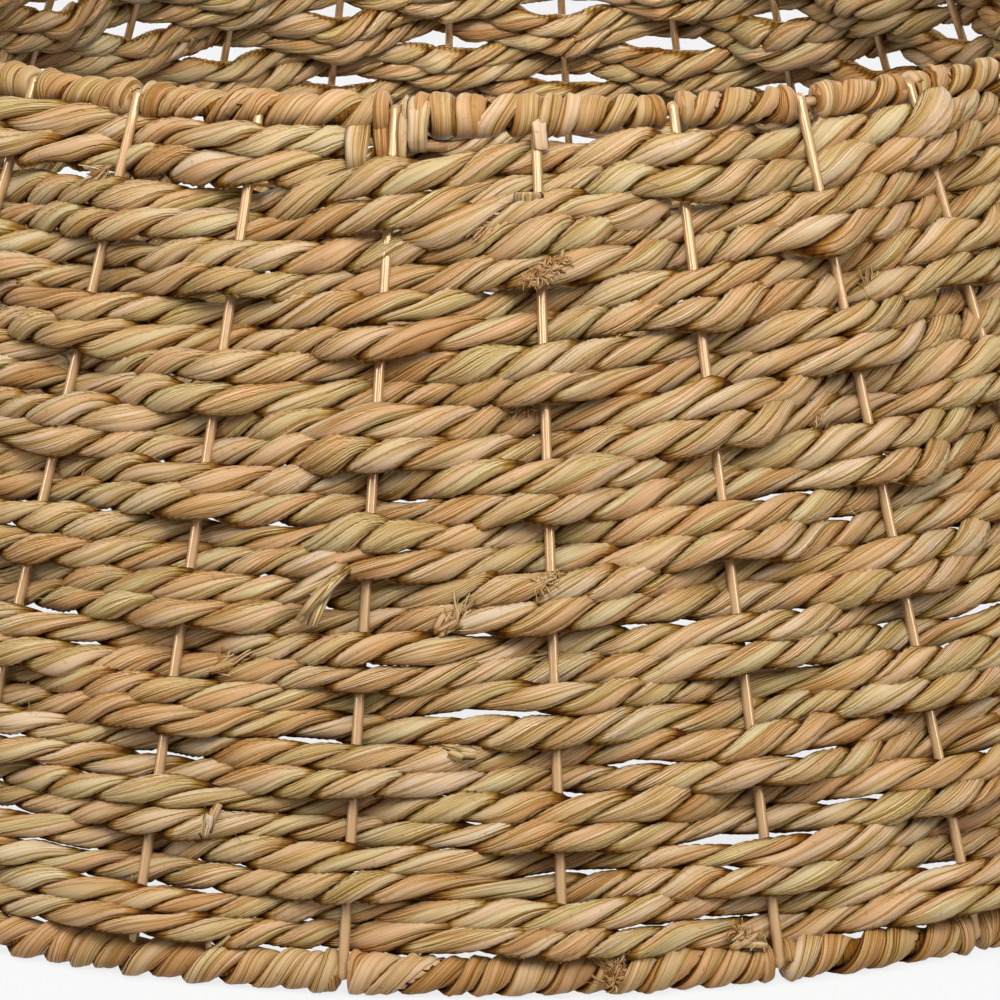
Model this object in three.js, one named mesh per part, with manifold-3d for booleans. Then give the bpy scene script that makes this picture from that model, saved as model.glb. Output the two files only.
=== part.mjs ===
// Woven tree collar: a flared, open-ended wall of doubled grass rope, woven over a welded wire
// frame of two rings and straight ribs, with grass binding wound over both rims.
// Millimetres, +Z up. The origin is on the floor, on the axis of the collar; the front is -Y.
import * as THREE from "three";
import { mergeVertices } from "three/addons/utils/BufferGeometryUtils.js";
import Module from "manifold-3d";

// Driving dimensions.
const TOP_RADIUS = 232; // middle of the wall, level with the top ring
const BOTTOM_RADIUS = 352; // middle of the wall, level with the bottom ring
const RING_RISE = 250; // from the bottom ring up to the top ring
const RIB_COUNT = 32; // an even count, so that a full course closes on itself
const RIB_WIRE = 3.2; // diameter
const RING_WIRE = 3.2; // diameter
const RIB_LAP = 1.6; // how far a rib runs past the middle of each ring
const BINDING_WALL = 4.2; // thickness of the binding over the ring wire
const FOOT_ROPE = 7.6; // diameter of one rope in the lowest course, which is packed tight
const TOP_ROPE = 8.8; // diameter of one rope in the highest full course
const ROPES_PER_COURSE = 2; // ropes laid side by side that are woven as one
const FULL_COURSES = 14; // courses that go all the way round
const COURSE_CLIMB = 12; // how far the highest full course climbs and dips from its mean run
const JOIN_RISE = 7; // how far the highest full course is pushed up where a new rope is joined in
const FIT_GAP = 0.3; // clearance between pieces that bear on each other
const COURSE_GAP = 0.9; // clearance between a binding and the course next to it

// The weave climbs to the right across the front and sinks again round the back. Each entry is a
// rib, counted from the first one, and the share of the climb that the weave has there.
const CLIMB_STATIONS = [
  [-4, -1],
  [4, 1],
  [14, -0.5],
  [28, -1],
];
const CLIMB_FADE = 1.3; // power by which the climb fades from the highest course to the lowest
// Where the weave lies low there is room for one more course. It begins and ends between ribs, at
// these places counted in ribs.
const LAST_COURSE_RIBS = [12.3, 30.7];
const JOIN_RIB = 0; // the rib at which the new rope is joined in
const JOIN_REACH = 1.8; // how many ribs to each side the rise fades over

const WIRE_SIDES = 8;
const BINDING_SIDES = 8;
const RIB_STEP = (2 * Math.PI) / RIB_COUNT;
const FIRST_RIB = -Math.PI / 2 + RIB_STEP / 2; // half a step to the right of the front

// The wall slants inward as it rises. A place on it is given by its run up the slant from the
// bottom ring and its lift off the middle of the wall, outward.
const SLANT = Math.hypot(RING_RISE, BOTTOM_RADIUS - TOP_RADIUS);
const UP_SLANT = new THREE.Vector2(TOP_RADIUS - BOTTOM_RADIUS, RING_RISE).divideScalar(SLANT);
const OUTWARD = new THREE.Vector2(UP_SLANT.y, -UP_SLANT.x);
const LEAN = Math.atan2(BOTTOM_RADIUS - TOP_RADIUS, RING_RISE);

// The rings lie inside the ribs, and the bottom binding stands on the floor with a flat side.
const RING_LIFT = -(RIB_WIRE / 2 + FIT_GAP + RING_WIRE / 2);
const BINDING_RADIUS = RING_WIRE / 2 + FIT_GAP + BINDING_WALL;
const WALL_FOOT = new THREE.Vector2(
  BOTTOM_RADIUS,
  BINDING_RADIUS * Math.cos(Math.PI / BINDING_SIDES) - RING_LIFT * OUTWARD.y,
);

// The step from course to course grows towards the top, as the rope does.
const FULL_STEPS = FULL_COURSES - 1;
const FOOT_WIDTH = ROPES_PER_COURSE * FOOT_ROPE;
const TOP_WIDTH = ROPES_PER_COURSE * TOP_ROPE;
const LOWEST_RUN = BINDING_RADIUS + COURSE_GAP + FOOT_WIDTH / 2;
const HIGHEST_RUN = SLANT - BINDING_RADIUS - COURSE_GAP - TOP_WIDTH / 2;
const LAST_COURSE_RUN = SLANT - LOWEST_RUN;
const LOWEST_STEP = FOOT_WIDTH + COURSE_GAP;
const STEP_GROWTH = (HIGHEST_RUN - COURSE_CLIMB - LOWEST_RUN - LOWEST_STEP * FULL_STEPS) / FULL_STEPS ** 2;

const wire = new THREE.MeshStandardMaterial({ color: 0xc39b6c, metalness: 0.8, roughness: 0.35 });
const grass = new THREE.MeshStandardMaterial({ color: 0xb08d5e, roughness: 0.9 });
const strip = new THREE.MeshStandardMaterial({ color: 0xbc9c6c, roughness: 0.85 });

const wasm = await Module();
wasm.setup();

const collar = new THREE.Group();
collar.name = "tree_collar";

// Radius and height of a place on the wall.
function wallPoint(run, lift) {
  return WALL_FOOT.clone().addScaledVector(UP_SLANT, run).addScaledVector(OUTWARD, lift);
}

function ribAngle(index) {
  return FIRST_RIB + index * RIB_STEP;
}

function twoDigits(number) {
  return String(number).padStart(2, "0");
}

function addPiece(name, geometry, material) {
  const mesh = new THREE.Mesh(geometry, material.clone());
  mesh.name = name;
  collar.add(mesh);
}

function closedGeometry(geometry) {
  const bare = new THREE.BufferGeometry();
  bare.setAttribute("position", geometry.getAttribute("position"));
  bare.setIndex(geometry.getIndex());
  return mergeVertices(bare, 1e-4);
}

// A hoop about Z with a regular polygon for its section, flat underneath, with a corner at each rib.
function hoopGeometry(centre, radius, sides) {
  const section = [];
  for (let side = 0; side <= sides; side += 1) {
    const turn = ((side + 0.5) * 2 * Math.PI) / sides;
    section.push(new THREE.Vector2(centre.x + radius * Math.cos(turn), centre.y + radius * Math.sin(turn)));
  }
  const hoop = new THREE.LatheGeometry(section, RIB_COUNT);
  hoop.rotateX(Math.PI / 2);
  hoop.rotateZ(FIRST_RIB + Math.PI / 2);
  return closedGeometry(hoop);
}

function solidFrom(geometry) {
  const mesh = new wasm.Mesh({
    numProp: 3,
    vertProperties: new Float32Array(geometry.getAttribute("position").array),
    triVerts: new Uint32Array(geometry.getIndex().array),
  });
  return new wasm.Manifold(mesh);
}

function geometryFrom(solid) {
  const mesh = solid.getMesh();
  const geometry = new THREE.BufferGeometry();
  geometry.setAttribute("position", new THREE.BufferAttribute(mesh.vertProperties, 3));
  geometry.setIndex(new THREE.BufferAttribute(mesh.triVerts, 1));
  return geometry;
}

// Stands a shape made along Z at the given place on the wall, leaning with the wall at one rib.
function standAtRib(geometry, place, index) {
  geometry.rotateY(-LEAN);
  geometry.translate(place.x, 0, place.y);
  geometry.rotateZ(ribAngle(index));
  return closedGeometry(geometry);
}

function ribGeometry(index) {
  const length = SLANT + 2 * RIB_LAP;
  const rib = new THREE.CylinderGeometry(RIB_WIRE / 2, RIB_WIRE / 2, length, WIRE_SIDES);
  rib.rotateX(Math.PI / 2);
  return standAtRib(rib, wallPoint(SLANT / 2, 0), index);
}

// The binding is a sleeve round the ring wire, with a notch where each rib leaves it. The notch
// runs from just past the end of the rib out of the binding, on the side of the wall.
function bindingGeometry(ringRun, inwardRun) {
  const centre = wallPoint(ringRun, RING_LIFT);
  const wireRoom = hoopGeometry(centre, RING_WIRE / 2 + FIT_GAP, WIRE_SIDES);
  let sleeve = solidFrom(hoopGeometry(centre, BINDING_RADIUS, BINDING_SIDES)).subtract(solidFrom(wireRoom));
  const notchWidth = RIB_WIRE + 2 * FIT_GAP;
  const notchFloor = -RIB_WIRE / 2 - FIT_GAP;
  const notchDepth = BINDING_RADIUS + RIB_WIRE;
  const notchEnd = -RIB_LAP - FIT_GAP;
  const notchLength = 2 * BINDING_RADIUS;
  const notchRun = ringRun + inwardRun * (notchEnd + notchLength / 2);
  const notchPlace = wallPoint(notchRun, notchFloor + notchDepth / 2);
  for (let index = 0; index < RIB_COUNT; index += 1) {
    const notch = new THREE.BoxGeometry(notchDepth, notchWidth, notchLength);
    sleeve = sleeve.subtract(solidFrom(standAtRib(notch, notchPlace, index)));
  }
  return geometryFrom(sleeve);
}

// Diameter of the rope in a course. The short last course is of the thinner rope.
function ropeOf(number) {
  const share = number > FULL_COURSES ? 0 : (number - 1) / FULL_STEPS;
  return FOOT_ROPE + (TOP_ROPE - FOOT_ROPE) * share;
}

// Outline of the ropes of one course side by side: run up the slant and lift off the wall.
function courseOutline(number) {
  const rope = ropeOf(number);
  const outer = [];
  for (let place = 0; place <= 2 * ROPES_PER_COURSE; place += 1) {
    const onRope = place % 2 === 1;
    const lift = onRope ? rope / 2 : rope / 4;
    outer.push(new THREE.Vector2((place - ROPES_PER_COURSE) * (rope / 2), lift));
  }
  const inner = outer.map((point) => new THREE.Vector2(point.x, -point.y)).reverse();
  return [...outer, ...inner];
}

// Share of the climb at a place counted in ribs, eased between the climb's stations.
function climbAt(station) {
  const first = CLIMB_STATIONS[0][0];
  const place = ((station - first) % RIB_COUNT) + first;
  const after = CLIMB_STATIONS.findIndex(([rib]) => rib > place);
  const [fromRib, fromLevel] = CLIMB_STATIONS[after - 1];
  const [toRib, toLevel] = CLIMB_STATIONS[after];
  const eased = (1 - Math.cos((Math.PI * (place - fromRib)) / (toRib - fromRib))) / 2;
  return fromLevel + (toLevel - fromLevel) * eased;
}

// Share of the rise at the join: 1 at its rib, falling to 0 at its reach.
function joinAt(station) {
  const ahead = (station - JOIN_RIB + RIB_COUNT / 2) % RIB_COUNT;
  const away = Math.min(Math.abs(ahead - RIB_COUNT / 2) / JOIN_REACH, 1);
  return Math.cos((away * Math.PI) / 2) ** 2;
}

// Run up the slant to the middle of a course. The last course keeps level under the top binding.
function courseRun(number, station) {
  if (number > FULL_COURSES) {
    return LAST_COURSE_RUN;
  }
  const steps = number - 1;
  const climb = COURSE_CLIMB * (steps / FULL_STEPS) ** CLIMB_FADE * climbAt(station);
  const rise = number === FULL_COURSES ? JOIN_RISE * joinAt(station) : 0;
  return LOWEST_RUN + LOWEST_STEP * steps + STEP_GROWTH * steps ** 2 + climb + rise;
}

// A course is outside one rib and inside the next, and crosses the wall halfway. It bears on the
// ribs, so its swing follows from the rope and the wire.
function courseLift(number, station) {
  const rib = Math.floor(station);
  const side = (number + rib) % 2 === 1 ? 1 : -1;
  const swing = RIB_WIRE / 2 + FIT_GAP + ropeOf(number) / 2;
  return side * swing * (1 - 2 * (station - rib));
}

// Places, counted in ribs, at which a course turns, begins or ends.
function courseStations(number) {
  if (number <= FULL_COURSES) {
    return Array.from({ length: RIB_COUNT }, (_, index) => index);
  }
  const [start, end] = LAST_COURSE_RIBS;
  const stations = [start];
  for (let rib = Math.ceil(start); rib < end; rib += 1) {
    stations.push(rib);
  }
  return [...stations, end];
}

// One course: its outline stands at every station, and the rope runs straight between them. A full
// course closes on itself, and the last one has a flat end at each side.
function courseGeometry(number) {
  const outline = courseOutline(number);
  const corners = outline.length;
  const stations = courseStations(number);
  const full = number <= FULL_COURSES;
  const positions = [];
  const faces = [];
  stations.forEach((station, row) => {
    const next = (row + 1) % stations.length;
    outline.forEach((point, corner) => {
      const place = wallPoint(courseRun(number, station) + point.x, courseLift(number, station) + point.y);
      positions.push(place.x * Math.cos(ribAngle(station)), place.x * Math.sin(ribAngle(station)), place.y);
      const after = (corner + 1) % corners;
      if (full || next > row) {
        faces.push(row * corners + corner, next * corners + corner, row * corners + after);
        faces.push(next * corners + corner, next * corners + after, row * corners + after);
      }
    });
  });
  if (!full) {
    const lastRow = (stations.length - 1) * corners;
    THREE.ShapeUtils.triangulateShape(outline, []).forEach(([a, b, c]) => {
      faces.push(a, c, b);
      faces.push(lastRow + a, lastRow + b, lastRow + c);
    });
  }
  const geometry = new THREE.BufferGeometry();
  geometry.setAttribute("position", new THREE.Float32BufferAttribute(positions, 3));
  geometry.setIndex(faces);
  return geometry;
}

addPiece("bottom_ring", hoopGeometry(wallPoint(0, RING_LIFT), RING_WIRE / 2, WIRE_SIDES), wire);
addPiece("top_ring", hoopGeometry(wallPoint(SLANT, RING_LIFT), RING_WIRE / 2, WIRE_SIDES), wire);
for (let index = 0; index < RIB_COUNT; index += 1) {
  addPiece(`rib_${twoDigits(index + 1)}`, ribGeometry(index), wire);
}
for (let number = 1; number <= FULL_COURSES + 1; number += 1) {
  addPiece(`course_${twoDigits(number)}`, courseGeometry(number), grass);
}
addPiece("bottom_binding", bindingGeometry(0, 1), strip);
addPiece("top_binding", bindingGeometry(SLANT, -1), strip);

export default collar;
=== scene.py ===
"""Looks of a woven tree collar: twisted grass rope on a gold wire frame, with both rims bound in strip."""

import logging
import math
from dataclasses import dataclass, fields
from enum import Enum

import bpy
import numpy as np
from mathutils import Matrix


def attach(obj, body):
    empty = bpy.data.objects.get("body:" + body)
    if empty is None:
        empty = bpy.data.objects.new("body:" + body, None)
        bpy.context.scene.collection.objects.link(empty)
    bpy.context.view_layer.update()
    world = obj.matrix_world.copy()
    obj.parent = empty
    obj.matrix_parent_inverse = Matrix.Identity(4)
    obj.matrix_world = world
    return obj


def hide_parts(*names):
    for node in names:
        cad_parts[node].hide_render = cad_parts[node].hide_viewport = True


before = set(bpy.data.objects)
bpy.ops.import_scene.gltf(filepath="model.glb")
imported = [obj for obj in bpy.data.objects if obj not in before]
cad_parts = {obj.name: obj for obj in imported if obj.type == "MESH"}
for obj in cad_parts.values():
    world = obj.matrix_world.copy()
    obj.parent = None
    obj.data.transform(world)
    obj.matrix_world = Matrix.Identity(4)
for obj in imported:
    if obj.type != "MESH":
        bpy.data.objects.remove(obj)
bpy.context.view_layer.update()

LOG = logging.getLogger("tree_collar")
TAU = 2.0 * math.pi
BODY = "root"
IMAGE_SIDE = 1000.0
BLADE_MAP = "blade"
BAKE_MAP = "OFBake"
TONE = "tone"
# Vertex value of painted shade: 0 where the colour is darkened most, in creases and gaps, and 1 where it
# isn't.
CREASE_SHADE = "crease"
MAP_SPREAD = 50.0

Socket = bpy.types.NodeSocket
Material = bpy.types.Material
Colour = tuple[float, float, float, float]
Range = tuple[float, float, float, float]
Random = np.random.Generator
Noise = tuple[tuple[float, int], ...]


def srgb(red: int, green: int, blue: int) -> Colour:
    """Turns a display colour of 0 to 255 into Blender's linear colour.

    Args:
        red, green, blue: display values.

    Returns:
        Linear red, green, blue and an alpha of 1.
    """
    shares = [value / 255.0 for value in (red, green, blue)]
    linear = [s / 12.92 if s <= 0.04045 else ((s + 0.055) / 1.055) ** 2.4 for s in shares]
    return (linear[0], linear[1], linear[2], 1.0)


def loop_noise(rng: Random, share: np.ndarray, cycles: int) -> np.ndarray:
    """Smooth noise that closes on itself: a sum of cosines of 1 to cycles waves with random phases.

    Args:
        rng: source of the phases and weights.
        share: places along the loop, 0 to 1.
        cycles: the finest number of waves.

    Returns:
        The noise at each place, with a spread of about 1.
    """
    waves = np.arange(1, cycles + 1)[:, None]
    phases = rng.uniform(0.0, TAU, (cycles, 1))
    weights = rng.normal(0.0, 1.0, (cycles, 1)) * math.sqrt(2.0 / cycles)
    return (weights * np.cos(TAU * waves * share[None, :] + phases)).sum(0)


def waver(rng: Random, share: np.ndarray, parts: Noise) -> np.ndarray:
    """A sum of closed noises.

    Args:
        rng: source of the noises.
        share: places along the loop, 0 to 1.
        parts: the amount and the finest number of waves of each noise.

    Returns:
        The sum at each place.
    """
    return sum(amount * loop_noise(rng, share, cycles) for amount, cycles in parts)


def map_grid(along: np.ndarray, across: np.ndarray) -> np.ndarray:
    """Map points for every pair of a place along and a place across, rows first."""
    return np.stack(np.meshgrid(along, across, indexing="ij"), -1)


def round_spokes(around: np.ndarray, first: np.ndarray, second: np.ndarray) -> np.ndarray:
    """Unit spokes round a tube: the cosine of each angle times one way across and the sine times the other.

    Args:
        around: angles round the tube, one per column.
        first, second: unit vectors across the tube, one per row.

    Returns:
        Rows by columns by 3.
    """
    cosine = np.cos(around)[None, :, None]
    sine = np.sin(around)[None, :, None]
    return cosine * first[:, None, :] + sine * second[:, None, :]


@dataclass(frozen=True)
class Wall:
    """The slanted wall that every piece sits on, with the sizes of the solids, in metres."""

    top_radius: float = 0.232
    bottom_radius: float = 0.352
    ring_rise: float = 0.250
    rib_count: int = 32
    rib_wire: float = 0.0032
    ring_wire: float = 0.0032
    rib_lap: float = 0.0016
    binding_wall: float = 0.0042
    foot_rope: float = 0.0076
    top_rope: float = 0.0088
    full_courses: int = 14
    course_climb: float = 0.012
    join_rise: float = 0.007
    join_rib: float = 0.0
    join_reach: float = 1.8
    fit_gap: float = 0.0003
    course_gap: float = 0.0009
    binding_sides: int = 8
    climb_fade: float = 1.3
    climb_ribs: tuple[float, ...] = (-4.0, 4.0, 14.0, 28.0)
    climb_levels: tuple[float, ...] = (-1.0, 1.0, -0.5, -1.0)
    last_course_ribs: tuple[float, float] = (12.3, 30.7)
    zigzag: float = 0.95

    @property
    def slant(self) -> float:
        """Length of the wall from ring to ring."""
        return math.hypot(self.ring_rise, self.bottom_radius - self.top_radius)

    @property
    def up(self) -> tuple[float, float]:
        """Radial and vertical share of a step up the slant."""
        return ((self.top_radius - self.bottom_radius) / self.slant, self.ring_rise / self.slant)

    @property
    def ring_lift(self) -> float:
        """How far a ring's middle lies off the wall; the rings lie inside the ribs."""
        return -(self.rib_wire / 2 + self.fit_gap + self.ring_wire / 2)

    @property
    def binding_radius(self) -> float:
        """Outer radius of the binding on the ring wire."""
        return self.ring_wire / 2 + self.fit_gap + self.binding_wall

    @property
    def foot_height(self) -> float:
        """Height of the wall's foot, which puts the bottom binding on the floor."""
        flat = self.binding_radius * math.cos(math.pi / self.binding_sides)
        return flat + self.ring_lift * self.up[0]

    @property
    def rib_step(self) -> float:
        """Angle between neighbouring ribs."""
        return TAU / self.rib_count

    @property
    def lowest_run(self) -> float:
        """Run up the slant to the middle of the lowest course."""
        return self.binding_radius + self.course_gap + self.foot_rope

    @property
    def lowest_step(self) -> float:
        """Run from the lowest course to the next."""
        return 2 * self.foot_rope + self.course_gap

    @property
    def step_growth(self) -> float:
        """How the step from course to course grows towards the top."""
        highest = self.slant - self.binding_radius - self.course_gap - self.top_rope
        steps = self.full_courses - 1
        room = highest - self.course_climb - self.lowest_run - self.lowest_step * steps
        return room / steps**2

    def rib_angle(self, station: float) -> float:
        """Angle of a place counted in ribs; rib 0 is half a step right of the front."""
        return -math.pi / 2 + (station + 0.5) * self.rib_step

    def climb(self, station: np.ndarray) -> np.ndarray:
        """Share of the weave's climb, eased by half a cosine wave between its stations.

        Args:
            station: places counted in ribs.

        Returns:
            The share at each place, -1 to 1.
        """
        ribs, levels = np.array(self.climb_ribs), np.array(self.climb_levels)
        place = (station - ribs[0]) % self.rib_count + ribs[0]
        after = np.clip(np.searchsorted(ribs, place, side="right"), 1, len(ribs) - 1)
        share = (place - ribs[after - 1]) / (ribs[after] - ribs[after - 1])
        eased = (1.0 - np.cos(math.pi * share)) / 2
        return levels[after - 1] + (levels[after] - levels[after - 1]) * eased

    def even_run(self, number: float, station: np.ndarray) -> np.ndarray:
        """Run up the slant to a full course without the rise at the join: its level and share of the climb.

        Args:
            number: course, counted from 1 at the bottom; a half lies between two courses.
            station: places counted in ribs.

        Returns:
            The run at each place in metres.
        """
        steps = number - 1
        fade = (steps / (self.full_courses - 1)) ** self.climb_fade
        level = self.lowest_run + self.lowest_step * steps + self.step_growth * steps**2
        return level + self.course_climb * fade * self.climb(station)

    def course_run(self, number: int, station: np.ndarray) -> np.ndarray:
        """Run up the slant to the middle of a course; the highest full one rises where a rope is joined in.

        Args:
            number: course, counted from 1 at the bottom.
            station: places counted in ribs.

        Returns:
            The run at each place in metres.
        """
        if number > self.full_courses:
            return np.full_like(station, self.slant - self.lowest_run)
        if number < self.full_courses:
            return self.even_run(number, station)
        half = self.rib_count / 2
        away = np.abs((station - self.join_rib + half) % self.rib_count - half) / self.join_reach
        rise = np.cos(np.minimum(away, 1.0) * math.pi / 2) ** 2
        return self.even_run(number, station) + self.join_rise * rise

    def course_width(self, number: int, station: np.ndarray) -> np.ndarray:
        """Run that a course has to itself: half of the way to each neighbour.

        Args:
            number: course, counted from 1 at the bottom.
            station: places counted in ribs.

        Returns:
            The width at each place in metres.
        """
        if number > self.full_courses:
            return np.full_like(station, self.lowest_step)
        low = max(number - 0.5, 1.0)
        high = min(number + 0.5, float(self.full_courses))
        return (self.even_run(high, station) - self.even_run(low, station)) / (high - low)

    def rope(self, number: int) -> float:
        """Diameter of the solid rope of a course."""
        share = 0.0 if number > self.full_courses else (number - 1) / (self.full_courses - 1)
        return self.foot_rope + (self.top_rope - self.foot_rope) * share

    def course_lift(self, number: int, station: np.ndarray) -> np.ndarray:
        """Swing of a course off the wall: a rounded zigzag that peaks on every rib.

        Args:
            number: course, counted from 1 at the bottom; odd ones are outside rib 0.
            station: places counted in ribs.

        Returns:
            The lift at each place in metres.
        """
        swing = self.rib_wire / 2 + self.fit_gap + self.rope(number) / 2
        side = 1.0 if number % 2 else -1.0
        return side * swing * np.arcsin(self.zigzag * np.cos(math.pi * station)) / math.asin(self.zigzag)

    def radius_at(self, run: float) -> float:
        """Radius of the wall's middle at a run up the slant."""
        return self.bottom_radius + self.up[0] * run

    def point(self, run: np.ndarray, lift: np.ndarray, angle: np.ndarray) -> np.ndarray:
        """Places on or off the wall.

        Args:
            run: metres up the slant from the bottom ring.
            lift: metres off the middle of the wall, outward.
            angle: angle about the axis.

        Returns:
            Points with x, y and z in the last axis.
        """
        radius = self.bottom_radius + self.up[0] * run + self.up[1] * lift
        height = self.foot_height + self.up[1] * run - self.up[0] * lift
        radius, height, angle = np.broadcast_arrays(radius, height, angle)
        return np.stack([radius * np.cos(angle), radius * np.sin(angle), height], -1)

    def directions(self, angle: np.ndarray) -> tuple[np.ndarray, np.ndarray]:
        """Unit vectors off the wall and up the slant.

        Args:
            angle: angles about the axis.

        Returns:
            The vectors off the wall and the vectors up the slant, one of each per angle.
        """
        away = np.stack([np.cos(angle), np.sin(angle), np.zeros_like(angle)], -1)
        vertical = np.array([0.0, 0.0, 1.0])
        outward = self.up[1] * away - self.up[0] * vertical
        upward = self.up[0] * away + self.up[1] * vertical
        return outward, upward


class Skin:
    """A mesh in the making: grids of points joined into one piece, with maps and vertex values."""

    def __init__(self, name: str) -> None:
        """Starts an empty mesh.

        Args:
            name: name of the piece.
        """
        self.name = name
        self.count = 0
        self.points: list[np.ndarray] = []
        self.corners: list[np.ndarray] = []
        self.sizes: list[np.ndarray] = []
        self.maps: list[np.ndarray] = []
        self.strips: list[tuple[np.ndarray, np.ndarray]] = []
        self.values: dict[str, list[np.ndarray]] = {TONE: [], CREASE_SHADE: []}

    def add_grid(
        self,
        points: np.ndarray,
        plan: np.ndarray,
        tone: np.ndarray,
        crease: np.ndarray,
        loop: bool,
    ) -> None:
        """Adds a tube: rows run along it and columns run round it.

        Args:
            points: rows by columns by 3.
            plan: blade map in metres, one row and column more than the joined grid needs to close.
            tone: blade colour value at each point.
            crease: painted shade, 0 in a crease between blades or a gap, where the colour is darkened most,
                and 1 away from it.
            loop: True if the last row joins the first; otherwise both ends are capped.
        """
        rows, columns = points.shape[:2]
        index = np.arange(rows * columns).reshape(rows, columns) + self.count
        if loop:
            index = np.vstack([index, index[:1]])
        index = np.hstack([index, index[:, :1]])
        plan = plan[: index.shape[0], : index.shape[1]]
        along, across = np.indices(index.shape)

        def corners_of(grid: np.ndarray) -> np.ndarray:
            """The four corners of every cell of a grid."""
            return np.stack([grid[:-1, :-1], grid[1:, :-1], grid[1:, 1:], grid[:-1, 1:]], 2)

        quads = corners_of(index).reshape(-1, 4)
        plans = corners_of(plan).reshape(-1, 4, 2)
        cells = np.stack([corners_of(along), corners_of(across)], -1).reshape(-1, 4, 2)
        flat = points.reshape(-1, 3)
        a, b, c, d = (flat[quads[:, k] - self.count] for k in range(4))
        inside_out = (a * (np.cross(b, c) + np.cross(c, d))).sum() < 0
        if inside_out:
            quads, plans, cells = quads[:, ::-1], plans[:, ::-1], cells[:, ::-1]
        self.corners.append(quads.ravel())
        self.sizes.append(np.full(len(quads), 4))
        self.maps.append(plans.reshape(-1, 2))
        self.strips.append((cells.reshape(-1, 2), np.array([index.shape[0] - 1, columns])))
        if not loop:
            first, last = index[0, :-1], index[-1, :-1]
            caps = (first, last[::-1]) if not inside_out else (first[::-1], last)
            for cap in caps:
                self.corners.append(cap)
                self.sizes.append(np.array([columns]))
                self.maps.append(np.tile(plan[0, 0], (columns, 1)))
                self.strips.append((np.zeros((columns, 2)), np.array([1, columns])))
        self.points.append(flat)
        self.values[TONE].append(np.broadcast_to(tone, (rows, columns)).ravel())
        self.values[CREASE_SHADE].append(np.broadcast_to(crease, (rows, columns)).ravel())
        self.count += rows * columns

    def bake_plan(self) -> np.ndarray:
        """Lays every strip of cells on shelves of one square, cut into lengths that fill it evenly.

        Returns:
            One map point per corner.
        """
        shortest_shelf, margin = 8.0, 0.04
        sizes = np.array([size for _, size in self.strips], float)
        length = math.ceil(max(shortest_shelf, math.sqrt((sizes[:, 0] * sizes[:, 1]).sum())))
        shelves = np.ceil(sizes[:, 0] / length)
        starts = np.concatenate([[0.0], np.cumsum(shelves)[:-1]])
        total = shelves.sum()
        plans = []
        for (cells, size), start in zip(self.strips, starts):
            low = cells.reshape(-1, 2)[:, 0]
            per_face = 4 if len(low) % 4 == 0 and size[0] > 1 else len(low)
            face_low = low.reshape(-1, per_face).min(1).repeat(per_face)
            shelf = np.floor(face_low / length)
            u = (low - shelf * length) / length
            v = (start + shelf + margin + (1.0 - 2.0 * margin) * cells[:, 1] / size[1]) / total
            plans.append(np.stack([u, v], -1))
        return np.concatenate(plans)

    def piece(self, material: Material, slot: str, replaced: tuple[str, ...]) -> bpy.types.Object:
        """Makes the Blender object, rides it on the collar and hides the CAD nodes that it stands for.

        Args:
            material: its finish.
            slot: the record's material slot; not used.
            replaced: CAD nodes that it stands for.

        Returns:
            The new object.
        """
        points = np.concatenate(self.points).astype(np.float32)
        corners = np.concatenate(self.corners).astype(np.int32)
        sizes = np.concatenate(self.sizes).astype(np.int32)
        face_starts = np.concatenate([[0], np.cumsum(sizes)[:-1]]).astype(np.int32)
        mesh = bpy.data.meshes.new(self.name)
        mesh.vertices.add(len(points))
        mesh.vertices.foreach_set("co", points.ravel())
        mesh.loops.add(len(corners))
        mesh.loops.foreach_set("vertex_index", corners)
        mesh.polygons.add(len(sizes))
        mesh.polygons.foreach_set("loop_start", face_starts)
        mesh.polygons.foreach_set("use_smooth", np.ones(len(sizes), bool))
        for map_name, plan in ((BLADE_MAP, np.concatenate(self.maps)), (BAKE_MAP, self.bake_plan())):
            layer = mesh.uv_layers.new(name=map_name)
            layer.data.foreach_set("uv", plan.astype(np.float32).ravel())
        for value_name, parts in self.values.items():
            layer = mesh.attributes.new(value_name, "FLOAT", "POINT")
            layer.data.foreach_set("value", np.concatenate(parts).astype(np.float32))
        mesh.update(calc_edges=True)
        mesh.materials.append(material)
        made = bpy.data.objects.new(self.name, mesh)
        bpy.context.scene.collection.objects.link(made)
        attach(made, BODY)
        if replaced:
            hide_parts(*replaced)
        LOG.info("%s: %d points, %d faces", self.name, len(points), len(sizes))
        return made


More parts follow.
